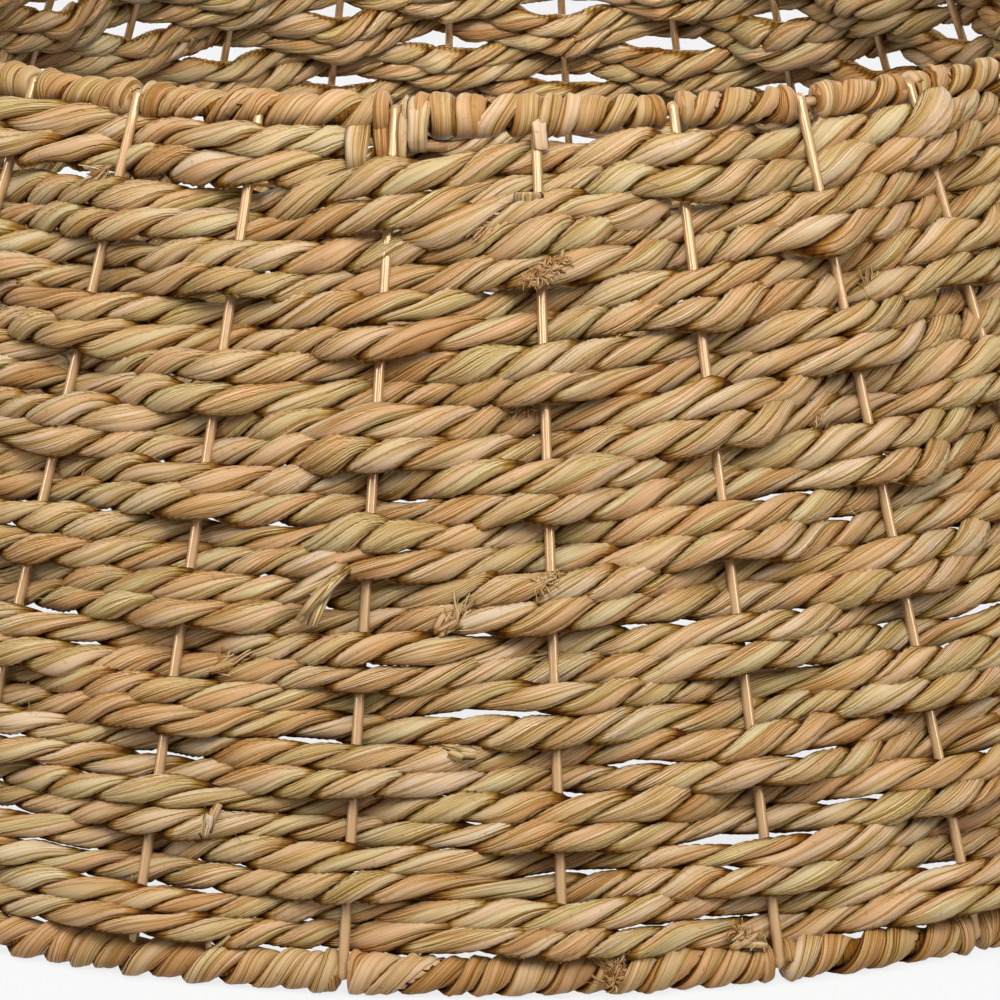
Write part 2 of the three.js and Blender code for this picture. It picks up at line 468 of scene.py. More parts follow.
class Shader:
    """A small hand for node trees: makes nodes, sets their inputs and joins them."""

    def __init__(self, tree: bpy.types.NodeTree) -> None:
        """Works on the given node tree."""
        self.tree = tree

    def node(self, kind: str, settings: dict[str, object] | None = None, **inputs: object) -> bpy.types.Node:
        """Adds a node.

        Args:
            kind: the node's type name.
            settings: its own properties.
            inputs: values or sockets for its inputs, by name with _ for a space, or by i and a number.

        Returns:
            The node.
        """
        made = self.tree.nodes.new(kind)
        for key, value in (settings or {}).items():
            setattr(made, key, value)
        for key, value in inputs.items():
            name = key.replace("_", " ")
            numbered = name[0] == "i" and name[1:].isdigit()
            socket = made.inputs[int(name[1:])] if numbered else made.inputs[name]
            if isinstance(value, Socket):
                self.tree.links.new(value, socket)
            else:
                socket.default_value = value
        return made

    def math(self, operation: str, first: object, second: object) -> Socket:
        """Adds a Math node and returns its value."""
        return self.node("ShaderNodeMath", {"operation": operation}, i0=first, i1=second).outputs[0]

    def ramp(self, value: Socket, stops: tuple[tuple[float, Colour], ...]) -> Socket:
        """Adds a colour ramp.

        Args:
            value: what it reads.
            stops: its places and their colours.

        Returns:
            Its colour.
        """
        made = self.node("ShaderNodeValToRGB", None, Fac=value)
        elements = made.color_ramp.elements
        while len(elements) < len(stops):
            elements.new(0.5)
        for element, (place, colour) in zip(elements, stops):
            element.position = place
            element.color = colour
        return made.outputs["Color"]

    def blend(self, mode: str, amount: object, first: object, second: object) -> Socket:
        """Adds a colour Mix node and returns its colour."""
        settings = {"data_type": "RGBA", "blend_type": mode}
        return self.node("ShaderNodeMix", settings, i0=amount, i6=first, i7=second).outputs[2]

    def spread(self, value: object, low: float, high: float, out_low: float, out_high: float) -> Socket:
        """Adds a clamped Map Range node and returns its value."""
        made = self.node("ShaderNodeMapRange", None, i0=value, i1=low, i2=high, i3=out_low, i4=out_high)
        return made.outputs[0]


def fresh_shader(owner: Material | bpy.types.World) -> Shader:
    """Switches on the nodes of a material or world and empties them.

    Args:
        owner: the material or world.

    Returns:
        A hand for its node tree.
    """
    owner.use_nodes = True
    owner.node_tree.nodes.clear()
    return Shader(owner.node_tree)


@dataclass(frozen=True)
class BladeShading:
    """Ranges of the grass look: two values of a pattern, then the two values that they become."""

    sway: Range = (0.25, 0.75, -0.0022, 0.0022)
    tone: Range = (0.0, 1.0, -0.30, 0.30)
    green: Range = (0.48, 0.85, 0.0, 0.74)
    pink: Range = (0.26, 0.05, 0.0, 0.40)
    blush: Range = (0.52, 0.68, 0.0, 1.0)
    fleck: Range = (0.66, 0.74, 0.0, 1.0)
    line: Range = (0.0, 0.15, 1.0, 0.0)
    line_crease: Range = (0.35, 1.0, 1.0, 0.3)
    line_places: Range = (0.40, 0.54, 0.0, 1.0)
    line_dark: Range = (0.0, 1.0, 1.0, 0.20)
    # Painted shade in the rifts between blades.
    rift: Range = (0.0, 0.045, 1.0, 0.0)
    rift_places: Range = (0.36, 0.60, 0.15, 1.0)
    painted_rift_shade: Range = (0.0, 1.0, 1.0, 0.16)
    vein: Range = (0.04, 0.24, 1.0, 0.0)
    vein_places: Range = (0.40, 0.58, 0.0, 1.0)
    vein_dark: Range = (0.0, 1.0, 1.02, 0.30)
    fine_dark: Range = (0.34, 0.66, 0.58, 1.06)
    broad_dark: Range = (0.28, 0.72, 0.90, 1.05)
    hair_dark: Range = (0.38, 0.62, 0.74, 1.07)
    smooth_places: Range = (0.46, 0.58, 0.0, 0.72)
    # Painted shade near the blades' edges and in the creases and gaps.
    painted_edge_shade: Range = (0.0, 0.20, 0.82, 1.0)
    painted_crease_shade: Range = (0.0, 0.32, 0.01, 1.0)
    edge_height: Range = (0.0, 0.17, 0.0, 0.75)
    broad_rough: Range = (0.3, 0.7, 0.58, 0.40)
    crease_rough: Range = (0.1, 0.6, 0.95, 0.40)


class BladeLook:
    """The shared look of dried grass blades, made as a shader group.

    The blade map runs along the blades in u and across them in v. Uneven cells along v are single blades,
    each with its own colour, and painted shade darkens their edges, the rifts between them and the creases
    and gaps that the crease input gives. Fine streaks, veins and thin fold lines run along the blades, some
    stretches are smooth, and patches of blush and brown specks lie over them.
    """

    inputs = ("Tone", "Crease", "Blades", "Vary", "Fold", "Blush", "Fleck")
    outputs = {"Color": "NodeSocketColor", "Roughness": "NodeSocketFloat", "Height": "NodeSocketFloat"}
    tones = (
        (0.00, srgb(172, 131, 91)),
        (0.25, srgb(189, 154, 123)),
        (0.50, srgb(195, 167, 142)),
        (0.75, srgb(197, 174, 155)),
        (1.00, srgb(198, 181, 163)),
    )
    green = srgb(188, 174, 139)
    pink = srgb(198, 162, 131)
    blush = srgb(192, 150, 113)
    speck = srgb(112, 72, 38)
    # Streaks: scales along and across the blade map, and layers of detail.
    fine_streaks = (40.0, 1600.0, 3.0)
    hair_streaks = (60.0, 2600.0, 1.0)
    broad_streaks = (22.0, 620.0, 2.0)
    fold_streaks = (20.0, 520.0, 1.0)
    sway_streaks = (16.0, 70.0, 1.0)
    fading_streaks = (34.0, 240.0, 1.0)
    smooth_streaks = (18.0, 130.0, 1.0)
    folds_per_blade = 3.4
    veins_per_blade = 5.5
    patch_scale = 42.0
    speck_scale = 420.0
    smooth_shade = 0.92
    red_power = 0.70
    blue_power = 2.05
    fine_height = 0.30
    broad_height = 0.35
    line_height = 0.5

    def __init__(self) -> None:
        """Makes the group's sockets and the patterns that its colour and its height share."""
        tree = bpy.data.node_groups.new("grass_blade", "ShaderNodeTree")
        for name in self.inputs:
            tree.interface.new_socket(name, in_out="INPUT", socket_type="NodeSocketFloat")
        for name, kind in self.outputs.items():
            tree.interface.new_socket(name, in_out="OUTPUT", socket_type=kind)
        self.shading = BladeShading()
        self.shader = s = Shader(tree)
        self.given = s.node("NodeGroupInput").outputs
        self.plan = s.node("ShaderNodeUVMap", {"uv_map": BLADE_MAP}).outputs[0]
        self.fine = self.streaks(*self.fine_streaks)
        self.broad = self.streaks(*self.broad_streaks)
        across = s.node("ShaderNodeSeparateXYZ", None, Vector=self.plan).outputs["Y"]
        swayed = s.math("ADD", across, s.spread(self.streaks(*self.sway_streaks), *self.shading.sway))
        self.blade_place = s.math("MULTIPLY", swayed, self.given["Blades"])
        self.edge = self.edges(1.0)

    def streaks(self, along: float, across: float, detail: float) -> Socket:
        """Noise stretched along the blades.

        Args:
            along, across: its scales along and across the blade map.
            detail: its finer layers.

        Returns:
            The noise.
        """
        s = self.shader
        stretched = s.node("ShaderNodeMapping", None, Vector=self.plan, Scale=(along, across, 1.0))
        noise = s.node("ShaderNodeTexNoise", None, Vector=stretched.outputs[0], Scale=1.0, Detail=detail)
        return noise.outputs[0]

    def cells(self, feature: str, per_blade: float) -> bpy.types.Node:
        """Uneven cells across the blades.

        Args:
            feature: what the cells put out.
            per_blade: cells to a blade.

        Returns:
            The cells' node.
        """
        settings = {"voronoi_dimensions": "1D", "feature": feature}
        return self.shader.node(
            "ShaderNodeTexVoronoi", settings, W=self.blade_place, Scale=per_blade, Randomness=1.0
        )

    def edges(self, per_blade: float) -> Socket:
        """Distance to the nearest edge of uneven cells across the blades."""
        return self.cells("DISTANCE_TO_EDGE", per_blade).outputs["Distance"]

    def dots(self, scale: float) -> Socket:
        """Noise in space, the same in every direction."""
        place = self.shader.node("ShaderNodeTexCoord").outputs["Object"]
        return self.shader.node("ShaderNodeTexNoise", None, Vector=place, Scale=scale, Detail=2.0).outputs[0]

    def blade_colour(self) -> Socket:
        """Each blade's own colour, with green and pinkish ones among them, patches of blush and specks.

        Returns:
            The colour before it is shaded.
        """
        s, given, shading = self.shader, self.given, self.shading
        cell_colour = self.cells("F1", 1.0).outputs["Color"]
        chance = s.node("ShaderNodeSeparateColor", None, Color=cell_colour).outputs
        variety = s.math("MULTIPLY", s.spread(chance["Red"], *shading.tone), given["Vary"])
        colour = s.ramp(s.math("ADD", given["Tone"], variety), self.tones)
        layers = (
            (chance["Blue"], shading.green, "Vary", self.green),
            (chance["Blue"], shading.pink, "Vary", self.pink),
            (self.dots(self.patch_scale), shading.blush, "Blush", self.blush),
            (self.dots(self.speck_scale), shading.fleck, "Fleck", self.speck),
        )
        for pattern, places, amount, paint in layers:
            cover = s.math("MULTIPLY", s.spread(pattern, *places), given[amount])
            colour = s.blend("MIX", cover, colour, paint)
        return colour

    def fold_lines(self) -> Socket:
        """Depth of the thin fold lines, which come and go along the blades and fade in the open.

        Returns:
            The depth: 0 off the lines and up to the Fold input in them.
        """
        s, shading = self.shader, self.shading
        line = s.spread(self.edges(self.folds_per_blade), *shading.line)
        folded = s.math("MULTIPLY", self.given["Fold"], s.spread(self.given["Crease"], *shading.line_crease))
        folded = s.math("MULTIPLY", folded, s.spread(self.streaks(*self.fold_streaks), *shading.line_places))
        return s.math("MULTIPLY", line, folded)

    def shade(self, lines: Socket) -> Socket:
        """How dark the blades are: a product of streaks, veins and fold lines, with painted shade in the
        rifts between blades, near their edges and in the creases.

        Args:
            lines: depth of the fold lines.

        Returns:
            The factor by which the colour is dimmed.
        """
        s, shading = self.shader, self.shading
        fading = self.streaks(*self.fading_streaks)
        vein_line = s.spread(self.edges(self.veins_per_blade), *shading.vein)
        vein = s.math("MULTIPLY", vein_line, s.spread(fading, *shading.vein_places))
        shade = s.spread(self.fine, *shading.fine_dark)
        streaks = (
            (self.broad, shading.broad_dark),
            (self.streaks(*self.hair_streaks), shading.hair_dark),
            (vein, shading.vein_dark),
        )
        for pattern, darkness in streaks:
            shade = s.math("MULTIPLY", shade, s.spread(pattern, *darkness))
        # Some stretches of blade are smooth, with hardly a line in them.
        smoother = s.math("SUBTRACT", self.smooth_shade, shade)
        smooth_places = s.spread(self.streaks(*self.smooth_streaks), *shading.smooth_places)
        shade = s.math("ADD", shade, s.math("MULTIPLY", smoother, smooth_places))
        # Painted shade: the rifts between blades, the blades' edges and the given creases and gaps are
        # darkened.
        rift = s.math("MULTIPLY", s.spread(self.edge, *shading.rift), s.spread(fading, *shading.rift_places))
        depths = (
            (lines, shading.line_dark),
            (rift, shading.painted_rift_shade),
            (self.edge, shading.painted_edge_shade),
            (self.given["Crease"], shading.painted_crease_shade),
        )
        for pattern, darkness in depths:
            shade = s.math("MULTIPLY", shade, s.spread(pattern, *darkness))
        return shade

    def build(self) -> bpy.types.NodeTree:
        """Joins the patterns to the group's outputs.

        Returns:
            The group. Its Blades input counts blades per metre of map, and Vary is how much they differ.
        """
        s, shading = self.shader, self.shading
        lines = self.fold_lines()
        shade = self.shade(lines)
        # Painted bounce light and sheen: dark places, the painted shade among them, are tinted redder,
        # and pale places greyer, than the blade itself.
        red, blue = s.math("POWER", shade, self.red_power), s.math("POWER", shade, self.blue_power)
        dimming = s.node("ShaderNodeCombineColor", None, Red=red, Green=shade, Blue=blue).outputs[0]
        fine_rise = s.math("MULTIPLY", self.fine, self.fine_height)
        broad_rise = s.math("MULTIPLY", self.broad, self.broad_height)
        height = s.math("ADD", fine_rise, broad_rise)
        height = s.math("ADD", height, s.spread(self.edge, *shading.edge_height))
        dull = s.spread(self.given["Crease"], *shading.crease_rough)
        s.node(
            "NodeGroupOutput",
            None,
            Color=s.blend("MULTIPLY", 1.0, self.blade_colour(), dimming),
            Roughness=s.math("MAXIMUM", dull, s.spread(self.broad, *shading.broad_rough)),
            Height=s.math("SUBTRACT", height, s.math("MULTIPLY", lines, self.line_height)),
        )
        return s.tree


@dataclass(frozen=True)
class GrassFinish:
    """Dried grass: blades to a metre, how they differ, folds, blush, flecks, relief in metres, and sheen."""

    name: str
    blades: float = 190.0
    vary: float = 1.0
    fold: float = 1.0
    blush: float = 0.45
    fleck: float = 0.3
    relief: float = 0.0005
    relief_strength: float = 0.9
    sheen: float = 0.14

    def material(self, group: bpy.types.NodeTree) -> Material:
        """Builds the material round the shared blade look.

        Args:
            group: the grass blade group.

        Returns:
            The material.
        """
        made = bpy.data.materials.new(self.name)
        s = fresh_shader(made)
        look = s.node(
            "ShaderNodeGroup",
            {"node_tree": group},
            Tone=s.node("ShaderNodeAttribute", {"attribute_name": TONE}).outputs["Fac"],
            Crease=s.node("ShaderNodeAttribute", {"attribute_name": CREASE_SHADE}).outputs["Fac"],
            Blades=self.blades,
            Vary=self.vary,
            Fold=self.fold,
            Blush=self.blush,
            Fleck=self.fleck,
        ).outputs
        bump = s.node(
            "ShaderNodeBump",
            None,
            Height=look["Height"],
            Strength=self.relief_strength,
            Distance=self.relief,
        )
        surface = s.node(
            "ShaderNodeBsdfPrincipled",
            None,
            Base_Color=look["Color"],
            Roughness=look["Roughness"],
            Normal=bump.outputs[0],
            Specular_IOR_Level=self.sheen,
        )
        s.node("ShaderNodeOutputMaterial", None, Surface=surface.outputs[0])
        return made


@dataclass(frozen=True)
class WireFinish:
    """Champagne gold paint on steel wire, a little uneven and rubbed."""

    name: str = "gold_paint"
    colour: Colour = srgb(178, 142, 100)
    rubbed: Colour = srgb(160, 124, 84)
    metallic: float = 0.25
    uneven_scale: float = 60.0
    rubbed_places: Range = (0.54, 0.74, 0.0, 0.5)
    rough: Range = (0.3, 0.7, 0.16, 0.21)

    def material(self) -> Material:
        """Builds the material.

        Returns:
            The material.
        """
        made = bpy.data.materials.new(self.name)
        s = fresh_shader(made)
        place = s.node("ShaderNodeTexCoord").outputs["Object"]
        noise = s.node("ShaderNodeTexNoise", None, Vector=place, Scale=self.uneven_scale, Detail=2.0)
        uneven = noise.outputs[0]
        surface = s.node(
            "ShaderNodeBsdfPrincipled",
            None,
            Base_Color=s.blend("MIX", s.spread(uneven, *self.rubbed_places), self.colour, self.rubbed),
            Metallic=self.metallic,
            Roughness=s.spread(uneven, *self.rough),
        )
        s.node("ShaderNodeOutputMaterial", None, Surface=surface.outputs[0])
        return made


@dataclass(frozen=True)
class RopeForm:
    """Shape of one two-ply rope: lay, step, sway and bulge in metres, the rest as angles, shares or powers.

    Each pair in a noise is its amount and its finest number of waves round the collar. The heart is the
    inner side of a ply. The last values set the painted shade: how far round a ply from its grooves, and how
    far into a gap between ropes, the blades are darkened.
    """

    lay: float = 0.039
    step: float = 0.0025
    fill_foot: float = 1.21
    fill_top: float = 1.20
    swell: Noise = ((0.05, 48), (0.035, 14))
    sway: Noise = ((0.0005, 40), (0.0004, 12))
    bulge: Noise = ((0.0007, 34),)
    twist: Noise = ((0.42, 26),)
    balance: Noise = ((0.26, 50),)
    reach_limits: tuple[float, float] = (0.9, 2.24)
    reach_lap: float = 0.05
    end_size: float = 0.55
    end_growth: float = 2.5
    crown: float = 1.06
    groove: float = 0.72
    bow: float = 3.5
    columns: int = 13
    crowding: float = 1.25
    gather: float = 0.30
    blade_shear: float = 0.45
    waves: tuple[int, ...] = (3, 5, 7)
    wave_heights: tuple[float, ...] = (0.030, 0.026, 0.018)
    wave_drift: Noise = ((1.6, 40),)
    wave_fade: Noise = ((0.5, 30),)
    wave_edge: int = 4
    lump: Noise = ((0.12, 60),)
    heart_depth: float = -0.06
    heart_half: float = 0.35
    heart_map: tuple[float, ...] = (0.2, 0.4, 0.6)
    middle_tone: float = 0.5
    tone: Noise = ((0.11, 44),)
    tone_jitter: float = 0.06
    # Painted shade in the grooves between plies and in the gaps between ropes.
    groove_shade_width: float = 0.75
    gap_shade_foot: float = 0.33
    gap_shade_top: float = 0.21
    gap_shade_reach: float = 0.5
    gap_shade_least: float = 0.03


@dataclass
class RopePath:
    """The way of one rope through the weave, row by row: place, run, lift and room for it."""

    station: np.ndarray
    run: np.ndarray
    lift: np.ndarray
    space: np.ndarray
    loop: bool


@dataclass
class RopeCourse:
    """One course of the weave: two ropes side by side, outside one rib and inside the next."""

    wall: Wall
    form: RopeForm
    number: int
    outer_swing: float = 1.25
    front_sag: float = 0.0011
    back_sag: float = -0.0012
    join_half: float = 0.9
    join_lift: float = -0.0015
    join_swing: float = 0.0075
    last_drop: float = 0.0017
    last_lean: float = 0.5
    last_fill: float = 1.20

    @property
    def full(self) -> bool:
        """True if the course closes on itself."""
        return self.number <= self.wall.full_courses

    @property
    def height_share(self) -> float:
        """Height of the course in the weave: 0 for the lowest and 1 for the highest full one."""
        return min((self.number - 1) / (self.wall.full_courses - 1), 1.0)

    def stations(self, first: float, last: float, loop: bool) -> np.ndarray:
        """Evenly spaced rows between two places counted in ribs.

        Args:
            first, last: the places.
            loop: True if the last row would be the first again, so it is left out.

        Returns:
            The place of each row.
        """
        wall = self.wall
        middle_run = float(wall.course_run(self.number, np.array([0.0]))[0])
        length = wall.radius_at(middle_run) * wall.rib_step * (last - first)
        return np.linspace(first, last, int(round(length / self.form.step)), endpoint=not loop)

    def course_path(self, side: float, swing: float) -> RopePath:
        """The way of one of the course's two ropes.

        On the front a rope outside a rib sags a little and one inside rides up, so that the weave stays
        closed; at the back it is the other way round, so that gaps open beside the ribs.

        Args:
            side: -1 for the lower rope of the course and 1 for the upper one.
            swing: the rope's swing off the wall as a share of the course's.

        Returns:
            The path.
        """
        wall = self.wall
        ends = (-wall.rib_count / 2, wall.rib_count / 2) if self.full else wall.last_course_ribs
        station = self.stations(ends[0], ends[1], self.full)
        space = wall.course_width(self.number, station) / 2
        lift = wall.course_lift(self.number, station)
        front = (1.0 + np.cos((station + 0.5) * wall.rib_step)) / 2
        sag = self.back_sag + (self.front_sag - self.back_sag) * front
        run = wall.course_run(self.number, station) + side * space / 2 - sag * lift / np.abs(lift).max()
        if not self.full:
            run = run - self.last_drop * (1.0 - self.last_lean * side)
            space = space * self.last_fill
        return RopePath(station, run, swing * lift, space, self.full)

    def join_path(self) -> RopePath:
        """The way of the short rope that is joined in below the highest full course, over one rib.

        Returns:
            The path.
        """
        wall = self.wall
        middle = wall.join_rib
        station = self.stations(middle - self.join_half, middle + self.join_half, False)
        below = wall.course_run(self.number - 1, station)
        above = wall.course_run(self.number, station)
        rise = np.cos((station - middle) / self.join_half * math.pi / 2) ** 2
        space = wall.course_width(self.number, station) / 2
        return RopePath(station, (below + above) / 2, self.join_lift + self.join_swing * rise, space, False)

    def add_rope(self, skin: Skin, rng: Random, way: RopePath) -> None:
        """Adds one rope: two plies that wind round its way once per lay, with a slow sway.

        Args:
            skin: mesh to add to.
            rng: source of the rope's unevenness.
            way: where the rope goes.
        """
        form, wall = self.form, self.wall
        share = way.station / wall.rib_count
        angle = wall.rib_angle(0.0) + way.station * wall.rib_step
        length = TAU * wall.radius_at(float(way.run.mean()))
        fill = form.fill_foot + (form.fill_top - form.fill_foot) * self.height_share
        radius = way.space / 2 * fill * (1.0 + waver(rng, share, form.swell))
        if not way.loop:
            from_end = np.minimum(way.station - way.station[0], way.station[-1] - way.station)
            radius = radius * np.clip(form.end_size + from_end * form.end_growth, 0.0, 1.0)
        run = way.run + waver(rng, share, form.sway)
        path = wall.point(run, way.lift + waver(rng, share, form.bulge), angle)
        turns = round(length / form.lay)
        twist = TAU * turns * share + waver(rng, share, form.twist) + rng.uniform(0.0, TAU)
        balance = waver(rng, share, form.balance)
        for ply, half in enumerate((math.pi / 2 + balance, math.pi / 2 - balance)):
            reach = np.clip(half, *form.reach_limits) + form.reach_lap
            self.add_ply(skin, rng, way, path, angle, twist + ply * math.pi, radius, reach)

    def add_ply(
        self,
        skin: Skin,
        rng: Random,
        way: RopePath,
        path: np.ndarray,
        angle: np.ndarray,
        twist: np.ndarray,
        radius: np.ndarray,
        reach: np.ndarray,
    ) -> None:
        """Adds one ply of a rope as a grid of rows along it and columns round it.

        The section is a half round that dips at both sides into the groove between the plies: its radius is
        the rope's, less the groove's depth times a power of the angle from the ply's middle. The blades turn
        back against the rope, so they run from tip to tip of each lobe: their place across the ply is its
        angle plus a share of the twist, and low waves of that place stand for the rounded blades.

        Args:
            skin: mesh to add to.
            rng: source of the ply's unevenness.
            way: where the rope goes.
            path: middle of the rope.
            angle: angle of each row about the collar's axis.
            twist: angle of the ply's middle round the rope at each row.
            radius: radius of the rope at each row.
            reach: angle from the ply's middle to the groove at each row.
        """
        form, wall = self.form, self.wall
        share = way.station / wall.rib_count
        length = TAU * wall.radius_at(float(way.run.mean()))
        turns = round(length / form.lay)
        evenly = np.linspace(-1.0, 1.0, form.columns)
        edge = np.abs(evenly)[None, :]
        around = reach[:, None] * (np.sin(form.crowding * evenly) / math.sin(form.crowding))[None, :]
        blade_turns = round(form.blade_shear * turns)
        sheared = TAU * blade_turns * share + form.blade_shear * (twist - TAU * turns * share)
        blade = around * (1.0 + form.gather * edge**2) + sheared[:, None]
        relief = np.zeros_like(around)
        for wave, height in zip(form.waves, form.wave_heights):
            drift = waver(rng, share, form.wave_drift)[:, None]
            strength = height * (1.0 + waver(rng, share, form.wave_fade))[:, None]
            relief += strength * np.cos(wave * blade + drift)
        lump = 1.0 + waver(rng, share, form.lump)
        dome = form.crown - form.groove * edge**form.bow + relief * (1.0 - edge**form.wave_edge)
        size = (radius * lump)[:, None] * dome
        deep = np.hstack([size * np.cos(around), np.outer(radius, [form.heart_depth, form.heart_depth])])
        broad = np.hstack([size * np.sin(around), np.outer(radius, [form.heart_half, -form.heart_half])])
        cosine, sine = np.cos(twist)[:, None], np.sin(twist)[:, None]
        outward, upward = wall.directions(angle)
        out = (cosine * deep - sine * broad)[..., None] * outward[:, None, :]
        high = (sine * deep + cosine * broad)[..., None] * upward[:, None, :]
        tone = form.middle_tone + waver(rng, share, form.tone) + rng.normal(0.0, form.tone_jitter)
        # Painted shade: blades are darkened near the grooves between the plies and where they face away into
        # the gaps between ropes, reaching further into the gaps towards the bottom of the weave.
        facing = np.abs(np.cos(twist[:, None] + around))
        dark = form.gap_shade_foot + (form.gap_shade_top - form.gap_shade_foot) * self.height_share
        crease = np.clip((1.0 - np.abs(evenly)) / form.groove_shade_width, 0.0, 1.0)
        crease = crease * np.clip((facing - dark) / form.gap_shade_reach, form.gap_shade_least, 1.0)
        crease = np.hstack([crease, np.zeros((len(crease), 2))])
        span = np.append(share, share[0] + 1.0 if way.loop else share[-1])
        blade = np.vstack([blade, blade[:1] + (TAU * blade_turns if way.loop else 0.0)])
        blade = np.hstack([blade, blade[:, -1:] + np.array([form.heart_map])])
        blade_size = float(radius.mean())
        plan = np.stack([np.broadcast_to(length * span[:, None], blade.shape), blade_size * blade], -1)
        skin.add_grid(
            path[:, None, :] + out + high,
            plan + rng.uniform(0.0, MAP_SPREAD, 2),
            np.clip(tone, 0.0, 1.0)[:, None],
            crease,
            loop=way.loop,
        )

    def build(self, rng: Random) -> Skin:
        """Builds the ropes of the course as one mesh.

        Args:
            rng: source of the course's unevenness.

        Returns:
            The mesh.
        """
        skin = Skin(f"woven_course_{self.number:02d}")
        outer_side = 1.0 if rng.random() < 0.5 else -1.0
        for side in (-1.0, 1.0):
            swing = self.outer_swing if side == outer_side else 1.0
            self.add_rope(skin, rng, self.course_path(side, swing))
        if self.number == self.wall.full_courses:
            self.add_rope(skin, rng, self.join_path())
        return skin

    def dress(self, skin: Skin, material: Material) -> bpy.types.Object:
        """Finishes the course, which stands for the CAD course of the same number."""
        return skin.piece(material, "grass_rope", (f"course_{self.number:02d}",))


class Rim(Enum):
    """Which rim a binding is on."""

    TOP = "top"
    BOTTOM = "bottom"


@dataclass(frozen=True)
class WindForm:
    """How strips are wound: their number, a turn's advance, and the crown of a strip in metres.

    The peak is where across the strip the crown is highest, the bow is the power of its fall from there, the
    overlap is the strip's width as a share of its room, the end pace is its advance next to a rib as a share
    of the usual one, and the lean is how far a strip leans along the rim at most.
    """

    strips: int
    advance: float
    crown: float
    peak: float
    bow: float
    overlap: float
    end_pace: float
    lean: float


class Winding(Enum):
    """The two ways in which the bindings are wound."""

    SLANTED = WindForm(
        strips=2, advance=0.0205, crown=0.0025, peak=0.22, bow=2.4, overlap=1.22, end_pace=0.45, lean=0.0017
    )
    UPRIGHT = WindForm(
        strips=1, advance=0.0082, crown=0.0023, peak=0.42, bow=3.4, overlap=1.20, end_pace=0.70, lean=0.0024
    )


@dataclass(frozen=True)
class Stretch:
    """A stretch of binding between two ribs: its winding, its ends along the rim in metres and its turns.

    Row by row, the share is the way along the strip, the pace is how fast it advances, with 1 for the usual
    advance, and the progress is the way along the rim, 0 to 1.
    """

    first: int
    last: int
    wind: WindForm
    start: float
    end: float
    turns: float
    share: np.ndarray
    pace: np.ndarray
    progress: np.ndarray


@dataclass(frozen=True)
class StripNoise:
    """Slow random values along a strip, between -1 and 1: how its width, crown, size and the rest vary."""

    width: np.ndarray
    crown: np.ndarray
    size: np.ndarray
    sway: np.ndarray
    lean: np.ndarray
    crumple: np.ndarray


@dataclass(frozen=True)
class StripEnd:
    """A strip that hangs from the top binding: its place, width, lean and its way down as runs and lifts."""

    station: float
    width: float
    lean: float
    drops: tuple[float, ...]
    lifts: tuple[float, ...]
    tone: float


# Strips that hang below the top rim in the photograph: the tie round the ends of the last course and a
# darker one beside it, a thin one and a tail right of the next rib, and a tail over the rib after that.
HANGING_STRIPS = (
    StripEnd(
        station=-1.25,
        width=0.0078,
        lean=0.02,
        drops=(0.0030, 0.0065, 0.0110, 0.0160, 0.0195, 0.0210),
        lifts=(-0.0015, 0.0022, 0.0036, 0.0034, 0.0008, -0.0045),
        tone=0.50,
    ),
    StripEnd(
        station=-1.10,
        width=0.0048,
        lean=0.10,
        drops=(0.0030, 0.0060, 0.0100, 0.0140, 0.0170, 0.0180),
        lifts=(-0.0015, 0.0016, 0.0024, 0.0018, -0.0004, -0.0035),
        tone=0.10,
    ),
    StripEnd(
        station=-0.93,
        width=0.0034,
        lean=0.00,
        drops=(0.0005, 0.0040, 0.0080, 0.0120, 0.0150, 0.0170),
        lifts=(0.0014, 0.0026, 0.0024, 0.0018, 0.0008, -0.0015),
        tone=0.25,
    ),
    StripEnd(
        station=-0.82,
        width=0.0076,
        lean=-0.03,
        drops=(-0.0058, -0.0030, 0.0010, 0.0050, 0.0095, 0.0130),
        lifts=(-0.0010, 0.0028, 0.0043, 0.0042, 0.0030, -0.0006),
        tone=0.45,
    ),
    StripEnd(
        station=0.005,
        width=0.0056,
        lean=0.08,
        drops=(-0.0005, 0.0030, 0.0060, 0.0090, 0.0115, 0.0130),
        lifts=(0.0010, 0.0031, 0.0034, 0.0032, 0.0028, 0.0022),
        tone=0.55,
    ),
)


# Ribs right of which the photograph shows bare ring wire before the binding starts again, with its length.
BARE_RING = {(Rim.TOP, 2): 0.0055, (Rim.BOTTOM, 1): 0.0008, (Rim.BOTTOM, 2): 0.0010}

# Ribs of the front at which the photograph shows a binding stop and start again.
SEEN_BREAKS = {Rim.TOP: [-4, -3, -1, 1, 2, 3], Rim.BOTTOM: [-4, -1, 1, 2, 4]}

# Columns across a wound strip, ten over its outer face and two back under it: place, face and painted
# shade, which darkens the strip's edges where one turn meets the next.
STRIP_ACROSS = np.array([0.0, 0.04, 0.1, 0.18, 0.3, 0.45, 0.6, 0.75, 0.9, 1.0, 0.7, 0.3])
STRIP_FACE = np.array([1.0] * 10 + [0.0] * 2)
STRIP_EDGE_SHADE = np.array([0.0, 0.06, 0.35, 0.8, 1.0, 1.0, 1.0, 0.9, 0.4, 0.04, 0.0, 0.0])

# Columns across a hanging strip, six over its outer face and two behind: place, hollow in metres and
# painted shade, which darkens its edges and its back.
TAIL_ACROSS = np.array([-1.0, -0.6, -0.2, 0.2, 0.6, 1.0, 0.5, -0.5])
TAIL_HOLLOW = np.array([-0.0007, 0.0001, 0.0, 0.0002, 0.0, -0.0006, -0.0009, -0.0009])
TAIL_EDGE_SHADE = np.array([0.3, 0.9, 1.0, 1.0, 0.9, 0.3, 0.0, 0.0])


